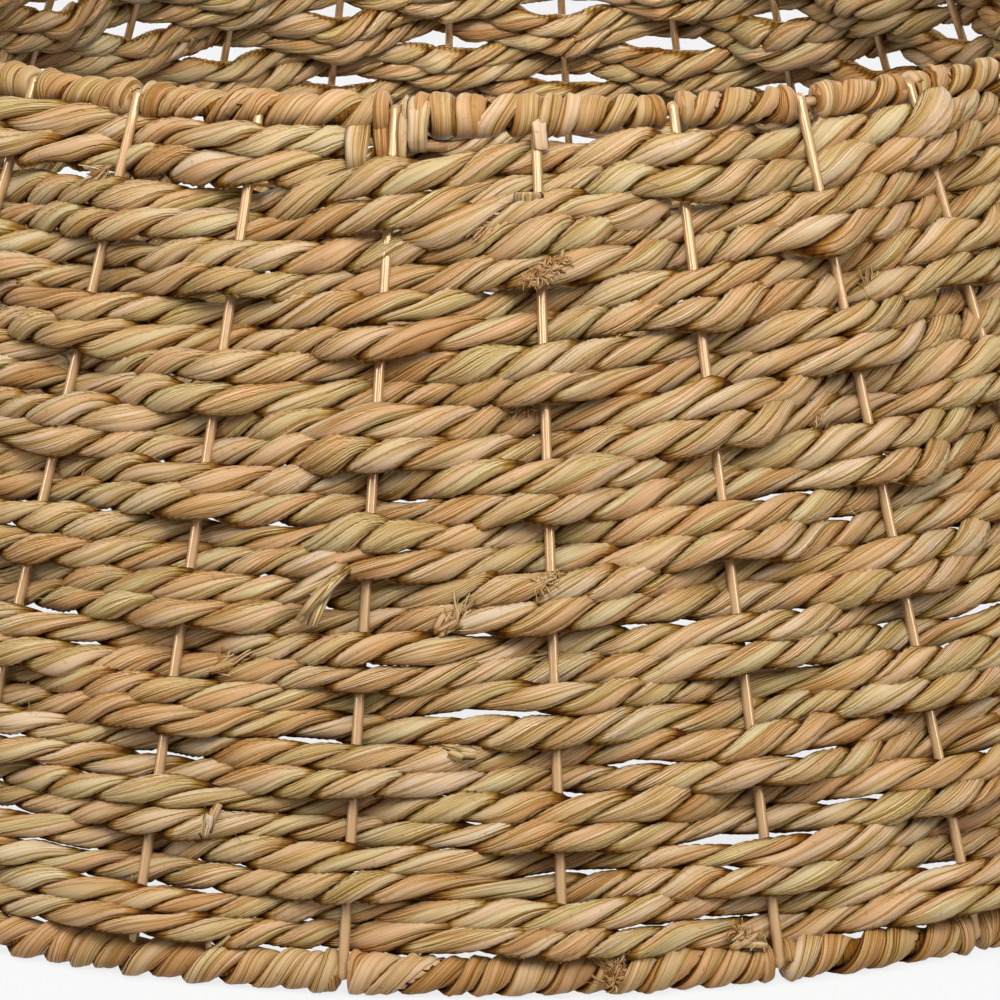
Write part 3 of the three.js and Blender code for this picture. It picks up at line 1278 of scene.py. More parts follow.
@dataclass
class RimBinding:
    """Grass strip wound round one ring, in stretches that break off at some ribs.

    Lengths are in metres. The core is the thickness of the inner layers, the shingle is how far one edge of
    a strip lies above the other, crumpled turns have deeper folds, and held turns go round on the spot at
    the ends. The tail and ripple values shape the strips that hang from the top rim.
    """

    wall: Wall
    rim: Rim
    core: float = 0.0034
    core_body: float = 0.7
    core_sides: int = 12
    core_step: float = 0.004
    core_end_rows: int = 4
    core_tone: float = 0.3
    # Painted shade on the core, which shows darkened in the valleys between the strips' turns.
    core_shade: float = 0.08
    shingle: float = 0.0009
    strip: float = 0.0006
    folds: float = 15.0
    fold_drift: tuple[float, float] = (3.0, 4.0)
    fold_height: float = 0.00014
    crumple_height: float = 0.00050
    crumple_range: tuple[float, float] = (0.35, 0.85)
    crumple_sway: float = 4.0
    crumple_waves: float = 4.0
    size_spread: float = 0.0004
    crown_spread: float = 0.35
    width_spread: float = 0.24
    least_width: float = 0.35
    sway: float = 0.0008
    start_spread: float = 0.2
    tone_middle: float = 0.16
    tone_spread: float = 0.20
    rib_cover: float = 0.0017
    rib_reach: float = 0.004
    lap_shift: float = 0.043
    top_gap: float = 0.0014
    bottom_gap: float = 0.0007
    gap_range: tuple[float, float] = (0.95, 1.4)
    end_inset: float = 0.002
    held_turn: float = 0.6
    end_turns: float = 0.9
    hurry: float = 0.42
    hurry_steps: float = 1.6
    spare_steps: int = 4
    end_round: float = 0.0018
    end_size: float = 0.1
    turn_steps: int = 22
    least_rows: int = 12
    spare_laps: int = 8
    first_lap: int = 3
    longest_stretch: int = 3
    upright_rib: int = -1
    front_ribs: tuple[int, int] = (-4, 3)
    slanted_share: float = 0.7
    bottom_size: float = 1.02
    top_size: float = 0.94
    front_swell: float = 0.17
    swell_middle: float = -0.7
    swell_half: float = 1.25
    tail_rows: int = 16
    tail_taper: float = 0.25
    tail_uneven: float = 0.08
    tail_waves: float = 9.0
    tail_ripple: float = 0.0002
    ripple_along: float = 14.0
    ripple_across: float = 7.0

    @property
    def run(self) -> float:
        """Run up the slant to this rim's ring."""
        return self.wall.slant if self.rim is Rim.TOP else 0.0

    @property
    def ring_radius(self) -> float:
        """Radius of this rim's ring about the collar's axis."""
        return self.wall.radius_at(self.run) + self.wall.up[1] * self.wall.ring_lift

    def ring_point(self, angle: np.ndarray) -> np.ndarray:
        """Places on the middle of the ring wire at angles about the axis."""
        return self.wall.point(np.array(self.run), np.array(self.wall.ring_lift), angle)

    def fullness(self, station: np.ndarray) -> np.ndarray:
        """How thick the binding is; the top one swells in the middle of the front as a flattened bell curve.

        Args:
            station: places counted in ribs.

        Returns:
            The factor on its radius at each place.
        """
        if self.rim is Rim.BOTTOM:
            return np.full_like(station, self.bottom_size)
        away = (station - self.swell_middle) / self.swell_half
        return self.top_size + self.front_swell * np.exp(-(away**4))

    def breaks(self, rng: Random) -> list[int]:
        """Ribs at which the binding stops and starts again, in order round the rim.

        Args:
            rng: source of the breaks that the photograph doesn't show.

        Returns:
            Rib numbers from the left of the front, going right; numbers below 0 are left of the front.
        """
        seen = SEEN_BREAKS[self.rim]
        last = seen[-1]
        round_again = seen[0] + self.wall.rib_count
        hidden = []
        while last < round_again - self.longest_stretch:
            last += int(rng.integers(1, self.longest_stretch + 1))
            hidden.append(last)
        return seen + [rib for rib in hidden if rib < round_again]

    def winding(self, rib: int, rng: Random) -> Winding:
        """How the stretch that starts at a rib is wound.

        Args:
            rib: number of the rib.
            rng: source of the choice where the photograph doesn't show it.

        Returns:
            The winding.
        """
        if self.rim is Rim.TOP and rib == self.upright_rib:
            return Winding.UPRIGHT
        if self.front_ribs[0] <= rib <= self.front_ribs[1]:
            return Winding.SLANTED
        return Winding.SLANTED if rng.random() < self.slanted_share else Winding.UPRIGHT

    def stretch(self, rng: Random, first: int, last: int) -> Stretch:
        """Lays out the turns between two ribs.

        The strips are wound closer and more upright where they end at a rib, and go round there on the spot.

        Args:
            rng: source of unevenness.
            first, last: ribs at its ends.

        Returns:
            The layout.
        """
        wind = self.winding(first, rng).value
        gap = self.top_gap if self.rim is Rim.TOP else self.bottom_gap
        start = self.wall.rib_angle(first) * self.ring_radius + gap * rng.uniform(*self.gap_range)
        start += BARE_RING.get((self.rim, first), 0.0)
        end = self.wall.rib_angle(last) * self.ring_radius - gap * rng.uniform(*self.gap_range)
        turns = (end - start) / wind.advance + 2.0 * self.held_turn
        share = np.linspace(0.0, 1.0, max(int(round(turns * self.turn_steps)), self.least_rows))
        from_end = np.minimum(share, 1.0 - share) * turns
        held = from_end < self.held_turn
        from_end = np.clip((from_end - self.held_turn) / self.end_turns, 0.0, 1.0)
        hurry = rng.uniform(-self.hurry, self.hurry, int(turns * self.hurry_steps) + self.spare_steps)
        pace = wind.end_pace + (1.0 - wind.end_pace) * from_end**2 * (3.0 - 2.0 * from_end)
        pace = pace * (1.0 + np.interp(share * turns * self.hurry_steps, np.arange(len(hurry)), hurry))
        advancing = np.where(held, 0.0, pace)
        progress = np.concatenate([[0.0], np.cumsum((advancing[1:] + advancing[:-1]) / 2)])
        return Stretch(first, last, wind, start, end, turns, share, pace, progress / progress[-1])

    def strip_section(self, wind: WindForm, turn: np.ndarray, noise: StripNoise) -> np.ndarray:
        """Radius of a strip's rows and columns round the wire, before ribs and ends change it.

        Across the strip the surface rises steeply from the edge that lies over the turn before and falls
        slowly to the edge that the next turn covers. Fold lines run along it as a sine across the strip,
        which is higher and sways in crumpled turns.

        Args:
            wind: the winding.
            turn: turn angle of each row.
            noise: slow random values of each row.

        Returns:
            The radius in metres.
        """
        across, peak = STRIP_ACROSS, wind.peak
        fall = np.where(across < peak, 1.0 - across / peak, (across - peak) / (1.0 - peak))
        crown = wind.crown * (1.0 + self.crown_spread * noise.crown) * (1.0 - fall**wind.bow)
        low, high = self.crumple_range
        crumpled = np.clip((noise.crumple - low) / (high - low), 0.0, 1.0)
        ripple = across * self.folds + self.fold_drift[0] * noise.size + self.fold_drift[1] * noise.width
        ripple = ripple + crumpled * self.crumple_sway * np.sin(self.crumple_waves * turn)[:, None]
        folds = (self.fold_height + self.crumple_height * crumpled) * np.sin(ripple) * STRIP_FACE
        tip = self.shingle * (0.5 - across)
        return self.core + crown + tip + folds + self.size_spread * noise.size + self.strip * STRIP_FACE

    def add_strip(self, skin: Skin, rng: Random, stretch: Stretch, number: int) -> None:
        """Adds one strip of a stretch.

        Its place round the ring wire is its turn angle, and it advances along the rim with that angle. It
        swells over the ribs that it covers. The radius falls to the wire's in a quarter round at both ends.

        Args:
            skin: mesh to add to.
            rng: source of unevenness.
            stretch: layout of the turns.
            number: which of the stretch's strips it is, from 0.
        """
        wall, wind, start, end = self.wall, stretch.wind, stretch.start, stretch.end
        lag = number / wind.strips
        turn = math.pi + rng.uniform(-self.start_spread, self.start_spread)
        turn = turn + TAU * (stretch.turns * stretch.share - lag)
        laps = int(stretch.turns) + self.spare_laps
        knots = rng.uniform(-1.0, 1.0, (len(fields(StripNoise)), laps))
        place = turn / TAU + self.first_lap
        noise = StripNoise(*(np.interp(place, np.arange(laps), knot)[:, None] for knot in knots))
        pace = stretch.pace[:, None]
        width = wind.overlap * wind.advance / wind.strips
        local_width = width * (1.0 + self.width_spread * noise.width)
        local_width = local_width * (self.least_width + (1.0 - self.least_width) * pace)
        sway = (self.sway * noise.sway + wind.lean * noise.lean * np.sin(turn)[:, None]) * pace
        way = (end - start - 2.0 * self.end_inset) * stretch.progress[:, None]
        middle = start + self.end_inset + way + sway
        along = np.clip(middle + (STRIP_ACROSS - 0.5) * local_width, start, end)
        angle = along / self.ring_radius
        station = (angle + math.pi / 2) / wall.rib_step - 0.5
        rib = np.round(station)
        from_rib = (station - rib) * wall.rib_step * self.ring_radius / self.rib_reach
        over_rib = np.exp(-(from_rib**2)) * ((rib > stretch.first) & (rib < stretch.last))
        radius = self.strip_section(wind, turn, noise) * self.fullness(station)
        radius = radius + self.rib_cover * over_rib * np.clip(np.cos(turn), 0.0, 1.0)[:, None]
        inset = np.clip(np.minimum(along - start, end - along) / self.end_round, 0.0, 1.0)
        rounding = self.end_size + (1.0 - self.end_size) * np.sqrt(1.0 - (1.0 - inset) ** 2)
        wire = wall.ring_wire / 2
        radius = wire + (radius - wire) * rounding
        outward, upward = wall.directions(angle)
        spoke = np.cos(turn)[:, None, None] * outward + np.sin(turn)[:, None, None] * upward
        points = self.ring_point(angle) + radius[..., None] * spoke
        points[..., 2] = np.maximum(points[..., 2], 0.0)
        shades = np.clip(rng.normal(self.tone_middle, self.tone_spread, laps), 0.0, 1.0)
        lap = np.clip(np.floor((turn - math.pi) / TAU + self.first_lap).astype(int), 0, laps - 1)
        plan = map_grid(np.append(turn, turn[-1]) * self.core, np.append(STRIP_ACROSS, 0.0) * width)
        plan[..., 1] += self.lap_shift * np.append(lap, lap[-1])[:, None]
        plan = plan + rng.uniform(0.0, MAP_SPREAD, 2)
        skin.add_grid(points, plan, shades[lap][:, None], STRIP_EDGE_SHADE[None, :], loop=False)

    def add_core(self, skin: Skin, rng: Random, stretch: Stretch) -> None:
        """Adds the inner layers of a stretch: a tube round the ring wire, rounded at both ends.

        Args:
            skin: mesh to add to.
            rng: source of its place in the blade map.
            stretch: layout of the stretch.
        """
        start, end = stretch.start, stretch.end
        bend = np.linspace(0.0, math.pi / 2, self.core_end_rows)
        rounding = self.core * (1.0 - np.cos(bend))
        rows = max(int((end - start) / self.core_step), 3)
        middle = np.linspace(start + self.core, end - self.core, rows)[1:-1]
        along = np.concatenate([start + rounding, middle, end - rounding[::-1]])
        body = np.concatenate([np.sin(bend), np.ones(len(middle)), np.cos(bend)])
        radius = self.wall.ring_wire / 2 + self.core_body * self.core * body
        angle = along / self.ring_radius
        around = TAU * np.arange(self.core_sides) / self.core_sides
        spoke = round_spokes(around, *self.wall.directions(angle))
        points = self.ring_point(angle)[:, None, :] + radius[:, None, None] * spoke
        points[..., 2] = np.maximum(points[..., 2], 0.0)
        plan = map_grid(np.append(along, along[-1]), np.linspace(0.0, TAU, self.core_sides + 1) * self.core)
        plan = plan[..., ::-1] + rng.uniform(0.0, MAP_SPREAD, 2)
        skin.add_grid(points, plan, np.array(self.core_tone), np.array(self.core_shade), loop=False)

    def add_hanging(self, skin: Skin, rng: Random, strip: StripEnd) -> None:
        """Adds a strip that hangs from the rim: a shallow gutter carried along its way down.

        Args:
            skin: mesh to add to.
            rng: source of its place in the blade map.
            strip: its sizes and its way.
        """
        wall, across = self.wall, TAIL_ACROSS[None, :]
        knots = np.linspace(0.0, 1.0, len(strip.drops))
        share = np.linspace(0.0, 1.0, self.tail_rows)
        drop = np.interp(share, knots, strip.drops)
        lift = np.interp(share, knots, strip.lifts)
        lift[1:-1] = np.convolve(lift, np.array([0.25, 0.5, 0.25]), "valid")
        uneven = 1.0 + self.tail_uneven * np.sin(self.tail_waves * share + strip.station)
        half = strip.width / 2 * (1.0 - self.tail_taper * share**3) * uneven
        side = across * half[:, None] + strip.lean * (drop - drop[0])[:, None]
        angle = wall.rib_angle(strip.station) + side / wall.top_radius
        ripple = self.tail_ripple * np.sin(self.ripple_along * share[:, None] + self.ripple_across * across)
        hollow = lift[:, None] + TAIL_HOLLOW[None, :] + ripple
        points = wall.point((wall.slant - drop)[:, None], hollow, angle)
        plan = map_grid(np.append(drop, drop[-1]), np.append(TAIL_ACROSS, -1.0) * strip.width / 2)
        plan = plan + rng.uniform(0.0, MAP_SPREAD, 2)
        skin.add_grid(points, plan, np.array(strip.tone), TAIL_EDGE_SHADE[None, :], loop=False)

    def build(self, rng: Random) -> Skin:
        """Builds every stretch of the binding as one mesh.

        Args:
            rng: source of the binding's unevenness.

        Returns:
            The mesh.
        """
        skin = Skin(f"{self.rim.value}_rim_binding")
        ribs = self.breaks(rng)
        for first, last in zip(ribs, ribs[1:] + [ribs[0] + self.wall.rib_count]):
            stretch = self.stretch(rng, first, last)
            self.add_core(skin, rng, stretch)
            for number in range(stretch.wind.strips):
                self.add_strip(skin, rng, stretch, number)
        if self.rim is Rim.TOP:
            for strip in HANGING_STRIPS:
                self.add_hanging(skin, rng, strip)
        return skin

    def dress(self, skin: Skin, material: Material) -> bpy.types.Object:
        """Finishes the binding, which stands for the CAD binding of its rim."""
        return skin.piece(material, "grass_strip", (f"{self.rim.value}_binding",))


@dataclass(frozen=True)
class EndForm:
    """Blades of a cut end: number, length and width in metres, spread of their directions in radians.

    The stand is how steeply they leave the wall, the roll is the spread of their turn about their own
    length, and the curl is how much of the stand they lose towards their tips.
    """

    blades: int
    length: float
    width: float
    fan: float
    stand: float
    roll: float = 1.2
    curl: float = 0.7


class EndKind(Enum):
    """The ways in which a rope's cut end shows."""

    STRIPS = EndForm(blades=8, length=0.0215, width=0.0046, fan=0.24, stand=0.42, roll=0.25)
    STUB = EndForm(blades=6, length=0.0075, width=0.0036, fan=0.30, stand=0.55, roll=0.7)
    BRUSH = EndForm(blades=130, length=0.0034, width=0.0008, fan=1.40, stand=1.20)
    FRINGE = EndForm(blades=30, length=0.0080, width=0.0009, fan=0.50, stand=0.50)
    FLAP = EndForm(blades=1, length=0.0030, width=0.0105, fan=0.02, stand=0.80, roll=0.0, curl=0.1)


@dataclass(frozen=True)
class CutEnd:
    """A cut end: its place in ribs and metres up the slant, its kind, its direction in degrees and its tone.

    The patch is half its length in metres. The lift off the wall is given where it isn't the weave's own.
    """

    station: float
    run: float
    kind: EndKind
    turn: float
    tone: float = 0.6
    patch: float = 0.002
    lift: float | None = None


# Cut ends in the photograph. A turn of 0 points right along the weave and 90 points up the wall.
SEEN_ENDS = (
    CutEnd(0.01, 0.2216, EndKind.BRUSH, 30.0, 0.15, 0.0065),
    CutEnd(-3.00, 0.1834, EndKind.STUB, 165.0, 0.9),
    CutEnd(-1.10, 0.1250, EndKind.STRIPS, 226.0, 0.7, 0.0028),
    CutEnd(-0.50, 0.1105, EndKind.FRINGE, 62.0, 0.55, 0.003),
    CutEnd(-0.60, 0.1060, EndKind.STUB, 55.0, 0.5),
    CutEnd(-0.56, 0.0700, EndKind.STUB, -20.0, 0.7),
    CutEnd(2.22, 0.2092, EndKind.FRINGE, 70.0, 0.3, 0.003),
    CutEnd(1.69, 0.1737, EndKind.FRINGE, 200.0, 0.25, 0.004),
    CutEnd(-1.74, 0.0927, EndKind.FRINGE, 15.0, 0.3, 0.005),
    CutEnd(-0.02, 0.1215, EndKind.BRUSH, 12.0, 0.35, 0.004),
    CutEnd(0.08, 0.1008, EndKind.FRINGE, 190.0, 0.3, 0.004),
    CutEnd(-1.68, 0.0390, EndKind.STUB, 80.0, 0.75),
    CutEnd(-2.06, 0.0299, EndKind.STUB, 260.0, 0.5),
    CutEnd(0.20, 0.0019, EndKind.FRINGE, 100.0, 0.15, 0.005),
    CutEnd(-1.62, 0.0048, EndKind.STUB, 85.0, 0.7),
    CutEnd(0.79, 0.0055, EndKind.STUB, 30.0, 0.4),
    CutEnd(-0.09, 0.2450, EndKind.FLAP, 90.0, 0.45, 0.0, 0.0100),
    CutEnd(0.23, 0.0005, EndKind.BRUSH, 80.0, 0.1, 0.005),
    CutEnd(0.86, 0.0075, EndKind.BRUSH, 150.0, 0.2, 0.005),
    CutEnd(-0.25, 0.2405, EndKind.FRINGE, 200.0, 0.3, 0.006, 0.0075),
    CutEnd(-2.96, 0.2491, EndKind.FRINGE, 215.0, 0.5, 0.004),
    CutEnd(-0.15, 0.1800, EndKind.BRUSH, 200.0, 0.3, 0.004),
)


@dataclass
class CutEnds:
    """The cut ends where one rope stops and the next is laid in, and the stray fibres of the grass.

    Lengths are in metres. Sunk is how deep a blade's root lies in the weave. Unseen ends are those that the
    photograph doesn't show, and they lie between two places counted in ribs.
    """

    wall: Wall
    unseen: int = 46
    unseen_ribs: tuple[float, float] = (4.5, 27.0)
    unseen_patch: float = 0.003
    unseen_tones: tuple[float, float] = (0.2, 0.8)
    fibres: int = 110
    fibre_lengths: tuple[float, float] = (0.003, 0.010)
    fibre_width: float = 0.0003
    fibre_rises: tuple[float, float] = (0.25, 0.7)
    fibre_curls: tuple[float, float] = (0.1, 0.6)
    fibre_tones: tuple[float, float] = (0.4, 1.0)
    rows: int = 5
    rim_reach: float = 1.3
    outer_swing: float = 1.12
    rope_share: float = 0.52
    sunk: float = 0.0006
    fibre_sunk: float = 0.0008
    beside: float = 0.0007
    thickness: float = 0.0004
    size_range: tuple[float, float] = (0.6, 1.25)
    root_half: float = 0.75
    belly: float = 0.5
    tip_taper: float = 0.45
    tone_spread: float = 0.18
    map_scale: float = 40.0

    def surface_lift(self, station: float, run: float) -> float:
        """Lift of the weave's or binding's outer face at a place on the wall.

        Args:
            station: place counted in ribs.
            run: metres up the slant.

        Returns:
            The lift in metres.
        """
        wall = self.wall
        if min(run, wall.slant - run) < wall.binding_radius * self.rim_reach:
            return wall.ring_lift + wall.binding_radius
        here = np.array([station])
        numbers = range(1, wall.full_courses + 1)
        nearest = min(numbers, key=lambda number: abs(float(wall.course_run(number, here)[0]) - run))
        swing = self.outer_swing * float(wall.course_lift(nearest, here)[0])
        return swing + self.rope_share * wall.rope(nearest)

    def add_blade(
        self, skin: Skin, base: np.ndarray, axes: np.ndarray, size: np.ndarray, tone: float
    ) -> None:
        """Adds one blade: a flat diamond section carried along an arc that leaves the wall.

        Args:
            skin: mesh to add to.
            base: where it starts.
            axes: its direction, its width direction and its way off the wall, as rows.
            size: length, width, rise, curl and thickness.
            tone: its colour value.
        """
        length, width, rise, curl, thickness = size
        share = np.linspace(0.0, 1.0, self.rows)
        ahead = length * share
        off = length * (rise * share - curl * share**2)
        middle = base + ahead[:, None] * axes[0] + off[:, None] * axes[2]
        half = width / 2 * (self.root_half + self.belly * share - self.tip_taper * share**3)
        across = np.array([-1.0, 0.0, 1.0, 0.0])[None, :, None] * half[:, None, None] * axes[1]
        thick = np.array([0.0, 0.5, 0.0, -0.5])[None, :, None] * thickness * axes[2]
        plan = map_grid(np.append(ahead, ahead[-1]), np.linspace(0.0, 2.0, 5) * width)
        plan = plan + base[:2] * self.map_scale
        # Painted shade: each blade darkens towards its root, down in the weave.
        crease = np.linspace(0.1, 1.0, self.rows)[:, None]
        skin.add_grid(middle[:, None, :] + across + thick, plan, np.array(tone), crease, loop=False)

    def add_end(self, skin: Skin, rng: Random, end: CutEnd) -> None:
        """Adds the blades of one cut end, fanned round its direction.

        Args:
            skin: mesh to add to.
            rng: source of the fan.
            end: the cut end.
        """
        wall, form = self.wall, end.kind.value
        lift = (self.surface_lift(end.station, end.run) if end.lift is None else end.lift) - self.sunk
        angle = np.array(wall.rib_angle(end.station))
        outward, upward = wall.directions(angle)
        sideways = np.cross(upward, outward)
        middle = wall.point(np.array(end.run), np.array(lift), angle)
        aim = math.radians(end.turn)
        long_way = math.cos(aim) * sideways + math.sin(aim) * upward
        for _ in range(form.blades):
            turn = aim + rng.normal(0.0, form.fan)
            ahead = math.cos(turn) * sideways + math.sin(turn) * upward
            beside = np.cross(outward, ahead)
            roll = rng.normal(0.0, form.roll)
            flat = math.cos(roll) * beside + math.sin(roll) * outward
            off = np.cross(ahead, flat)
            off = off if off @ outward > 0.0 else -off
            place = middle + long_way * rng.uniform(-1.0, 1.0) * end.patch
            place = place + beside * rng.normal(0.0, self.beside)
            scatter = rng.uniform(*self.size_range, 5) if form.blades > 1 else 1.0
            size = np.array([form.length, form.width, form.stand, form.stand * form.curl, self.thickness])
            tone = float(np.clip(end.tone + rng.normal(0.0, self.tone_spread), 0.0, 1.0))
            self.add_blade(skin, place, np.stack([ahead, flat, off]), size * scatter, tone)

    def add_fibre(self, skin: Skin, rng: Random) -> None:
        """Adds one stray fibre somewhere on the weave.

        Args:
            skin: mesh to add to.
            rng: source of its place, direction and size.
        """
        wall = self.wall
        station = rng.uniform(0.0, wall.rib_count)
        run = float(wall.even_run(rng.uniform(1.0, wall.full_courses), np.array([station]))[0])
        angle = np.array(wall.rib_angle(station))
        outward, upward = wall.directions(angle)
        turn = rng.uniform(0.0, TAU)
        ahead = math.cos(turn) * np.cross(upward, outward) + math.sin(turn) * upward
        lift = self.surface_lift(station, run) - self.fibre_sunk
        base = wall.point(np.array(run), np.array(lift), angle)
        ranges = (self.fibre_lengths, self.fibre_rises, self.fibre_curls)
        length, rise, curl = (rng.uniform(*limits) for limits in ranges)
        size = np.array([length, self.fibre_width, rise, curl, self.fibre_width])
        axes = np.stack([ahead, np.cross(outward, ahead), outward])
        self.add_blade(skin, base, axes, size, rng.uniform(*self.fibre_tones))

    def build(self, rng: Random) -> Skin:
        """Builds the cut ends of the front, others round the rest, and the stray fibres.

        Args:
            rng: source of the unseen ends and of the fibres.

        Returns:
            The mesh.
        """
        wall = self.wall
        skin = Skin("cut_ends")
        for end in SEEN_ENDS:
            self.add_end(skin, rng, end)
        kinds = [EndKind.STRIPS, EndKind.STUB, EndKind.BRUSH, EndKind.FRINGE]
        for _ in range(self.unseen):
            station = rng.uniform(*self.unseen_ribs)
            kind = kinds[int(rng.integers(0, len(kinds)))]
            course = int(rng.integers(1, wall.full_courses + 1))
            run = float(wall.course_run(course, np.array([station]))[0])
            turn, tone = rng.uniform(0.0, 360.0), rng.uniform(*self.unseen_tones)
            self.add_end(skin, rng, CutEnd(station, run, kind, turn, tone, self.unseen_patch))
        for _ in range(self.fibres):
            self.add_fibre(skin, rng)
        return skin

    def dress(self, skin: Skin, material: Material) -> bpy.types.Object:
        """Finishes the cut ends, which are part of the rope."""
        return skin.piece(material, "grass_rope", ())


@dataclass
class WireFrame:
    """The welded frame: two rings, the ribs lapped on their outer side, and a weld bead at each crossing."""

    wall: Wall
    rib_sides: int = 14
    rib_rows: int = 24
    rib_body: float = 1.08
    end_rows: int = 5
    end_round: float = 0.6
    end_size: float = 0.1
    ring_sides: int = 12
    ring_rows: int = 256
    bead: float = 0.0023
    bead_length: float = 1.15
    bead_depth: float = 0.18
    bead_tilt: float = 0.46 * math.pi
    bead_rows: int = 7
    bead_sides: int = 10

    def add_tube(
        self,
        skin: Skin,
        path: np.ndarray,
        radius: np.ndarray,
        across: tuple[np.ndarray, np.ndarray],
        sides: int,
        loop: bool,
    ) -> None:
        """Adds a round tube along a path.

        Args:
            skin: mesh to add to.
            path: middle of the tube at each row.
            radius: radius at each row.
            across: two unit vectors across the tube at each row.
            sides: columns round the tube.
            loop: True for a ring.
        """
        around = TAU * np.arange(sides) / sides
        points = path[:, None, :] + radius[:, None, None] * round_spokes(around, *across)
        skin.add_grid(points, np.zeros((len(path) + 1, sides + 1, 2)), np.array(1.0), np.array(1.0), loop)

    def add_along_rib(
        self, skin: Skin, index: int, runs: np.ndarray, lift: float, radius: np.ndarray, sides: int
    ) -> None:
        """Adds a tube that follows a rib.

        Args:
            skin: mesh to add to.
            index: number of the rib.
            runs: run up the slant of each row.
            lift: how far it lies off the wall.
            radius: radius at each row.
            sides: columns round the tube.
        """
        angle = np.full(len(runs), self.wall.rib_angle(index))
        outward, upward = self.wall.directions(angle)
        path = self.wall.point(runs, np.full(len(runs), lift), angle)
        self.add_tube(skin, path, radius, (outward, np.cross(outward, upward)), sides, False)

    def build_rib(self, index: int) -> Skin:
        """Builds one rib with rounded ends and its two weld beads, which are ellipsoids along the rib.

        Args:
            index: number of the rib, from 0.

        Returns:
            The mesh.
        """
        wall = self.wall
        skin = Skin(f"wire_rib_{index + 1:02d}")
        low, high = -wall.rib_lap, wall.slant + wall.rib_lap
        half = self.rib_body * wall.rib_wire / 2
        rounding = half * self.end_round
        bend = np.linspace(0.0, math.pi / 2, self.end_rows)
        end_runs = rounding * (1.0 - np.cos(bend))
        end_sizes = np.sin(bend) * (1.0 - self.end_size) + self.end_size
        middle = np.linspace(low + rounding, high - rounding, self.rib_rows)[1:-1]
        runs = np.concatenate([low + end_runs, middle, high - end_runs[::-1]])
        sizes = half * np.concatenate([end_sizes, np.ones(len(middle)), end_sizes[::-1]])
        self.add_along_rib(skin, index, runs, 0.0, sizes, self.rib_sides)
        tilt = np.linspace(-self.bead_tilt, self.bead_tilt, self.bead_rows)
        bead_lift = -wall.rib_wire * self.bead_depth
        for run in (0.0, wall.slant):
            runs = run + self.bead_length * self.bead * np.sin(tilt)
            self.add_along_rib(skin, index, runs, bead_lift, self.bead * np.cos(tilt), self.bead_sides)
        return skin

    def build_ring(self, rim: Rim) -> Skin:
        """Builds one ring wire as a closed tube.

        Args:
            rim: the rim that it is in.

        Returns:
            The mesh.
        """
        wall = self.wall
        skin = Skin(f"{rim.value}_ring_wire")
        run = wall.slant if rim is Rim.TOP else 0.0
        angle = TAU * np.arange(self.ring_rows) / self.ring_rows
        path = wall.point(np.full_like(angle, run), np.full_like(angle, wall.ring_lift), angle)
        radius = np.full_like(angle, wall.ring_wire / 2)
        self.add_tube(skin, path, radius, wall.directions(angle), self.ring_sides, True)
        return skin

    def dress(self, material: Material) -> None:
        """Builds and finishes every wire, each standing for its CAD node.

        Args:
            material: the wire's finish.
        """
        for rim in Rim:
            self.build_ring(rim).piece(material, "gold_wire", (f"{rim.value}_ring",))
        for index in range(self.wall.rib_count):
            self.build_rib(index).piece(material, "gold_wire", (f"rib_{index + 1:02d}",))


@dataclass(frozen=True)
class Lamp:
    """A square soft lamp: its place, side, power in watts, the point it faces and its beam in degrees."""

    name: str
    place: tuple[float, float, float]
    size: float
    power: float
    aim: tuple[float, float, float] = (0.0, 0.0, 0.12)
    beam: float = 180.0

    def add(self) -> None:
        """Hangs the lamp in the scene."""
        data = bpy.data.lights.new(self.name, "AREA")
        data.shape = "SQUARE"
        data.size = self.size
        data.energy = self.power
        data.spread = math.radians(self.beam)
        lamp = bpy.data.objects.new(self.name, data)
        lamp.location = self.place
        back = np.array(self.place) - np.array(self.aim)
        flat = math.hypot(back[0], back[1])
        lamp.rotation_euler = (math.atan2(flat, back[2]), 0.0, math.atan2(back[0], -back[1]))
        bpy.context.scene.collection.objects.link(lamp)


# The key lamp is in front and above. The last one lights the far wall's inside over the top rim.
LAMPS = (
    Lamp("key", (0.30, -1.35, 1.45), size=0.7, power=20.0),
    Lamp("top", (-0.2, -0.7, 1.20), size=0.8, power=8.0),
    Lamp("left", (-1.30, -1.05, 0.95), size=0.45, power=6.5),
    Lamp("right", (1.30, -1.05, 0.95), size=0.45, power=6.5),
    Lamp("back_left", (-1.10, 1.30, 0.80), size=0.6, power=7.0),
    Lamp("back_right", (1.10, 1.30, 0.80), size=0.6, power=7.0),
    Lamp("inside", (0.10, -1.25, 0.95), size=0.15, power=0.15, aim=(0.0, 0.27, 0.19), beam=15.0),
)


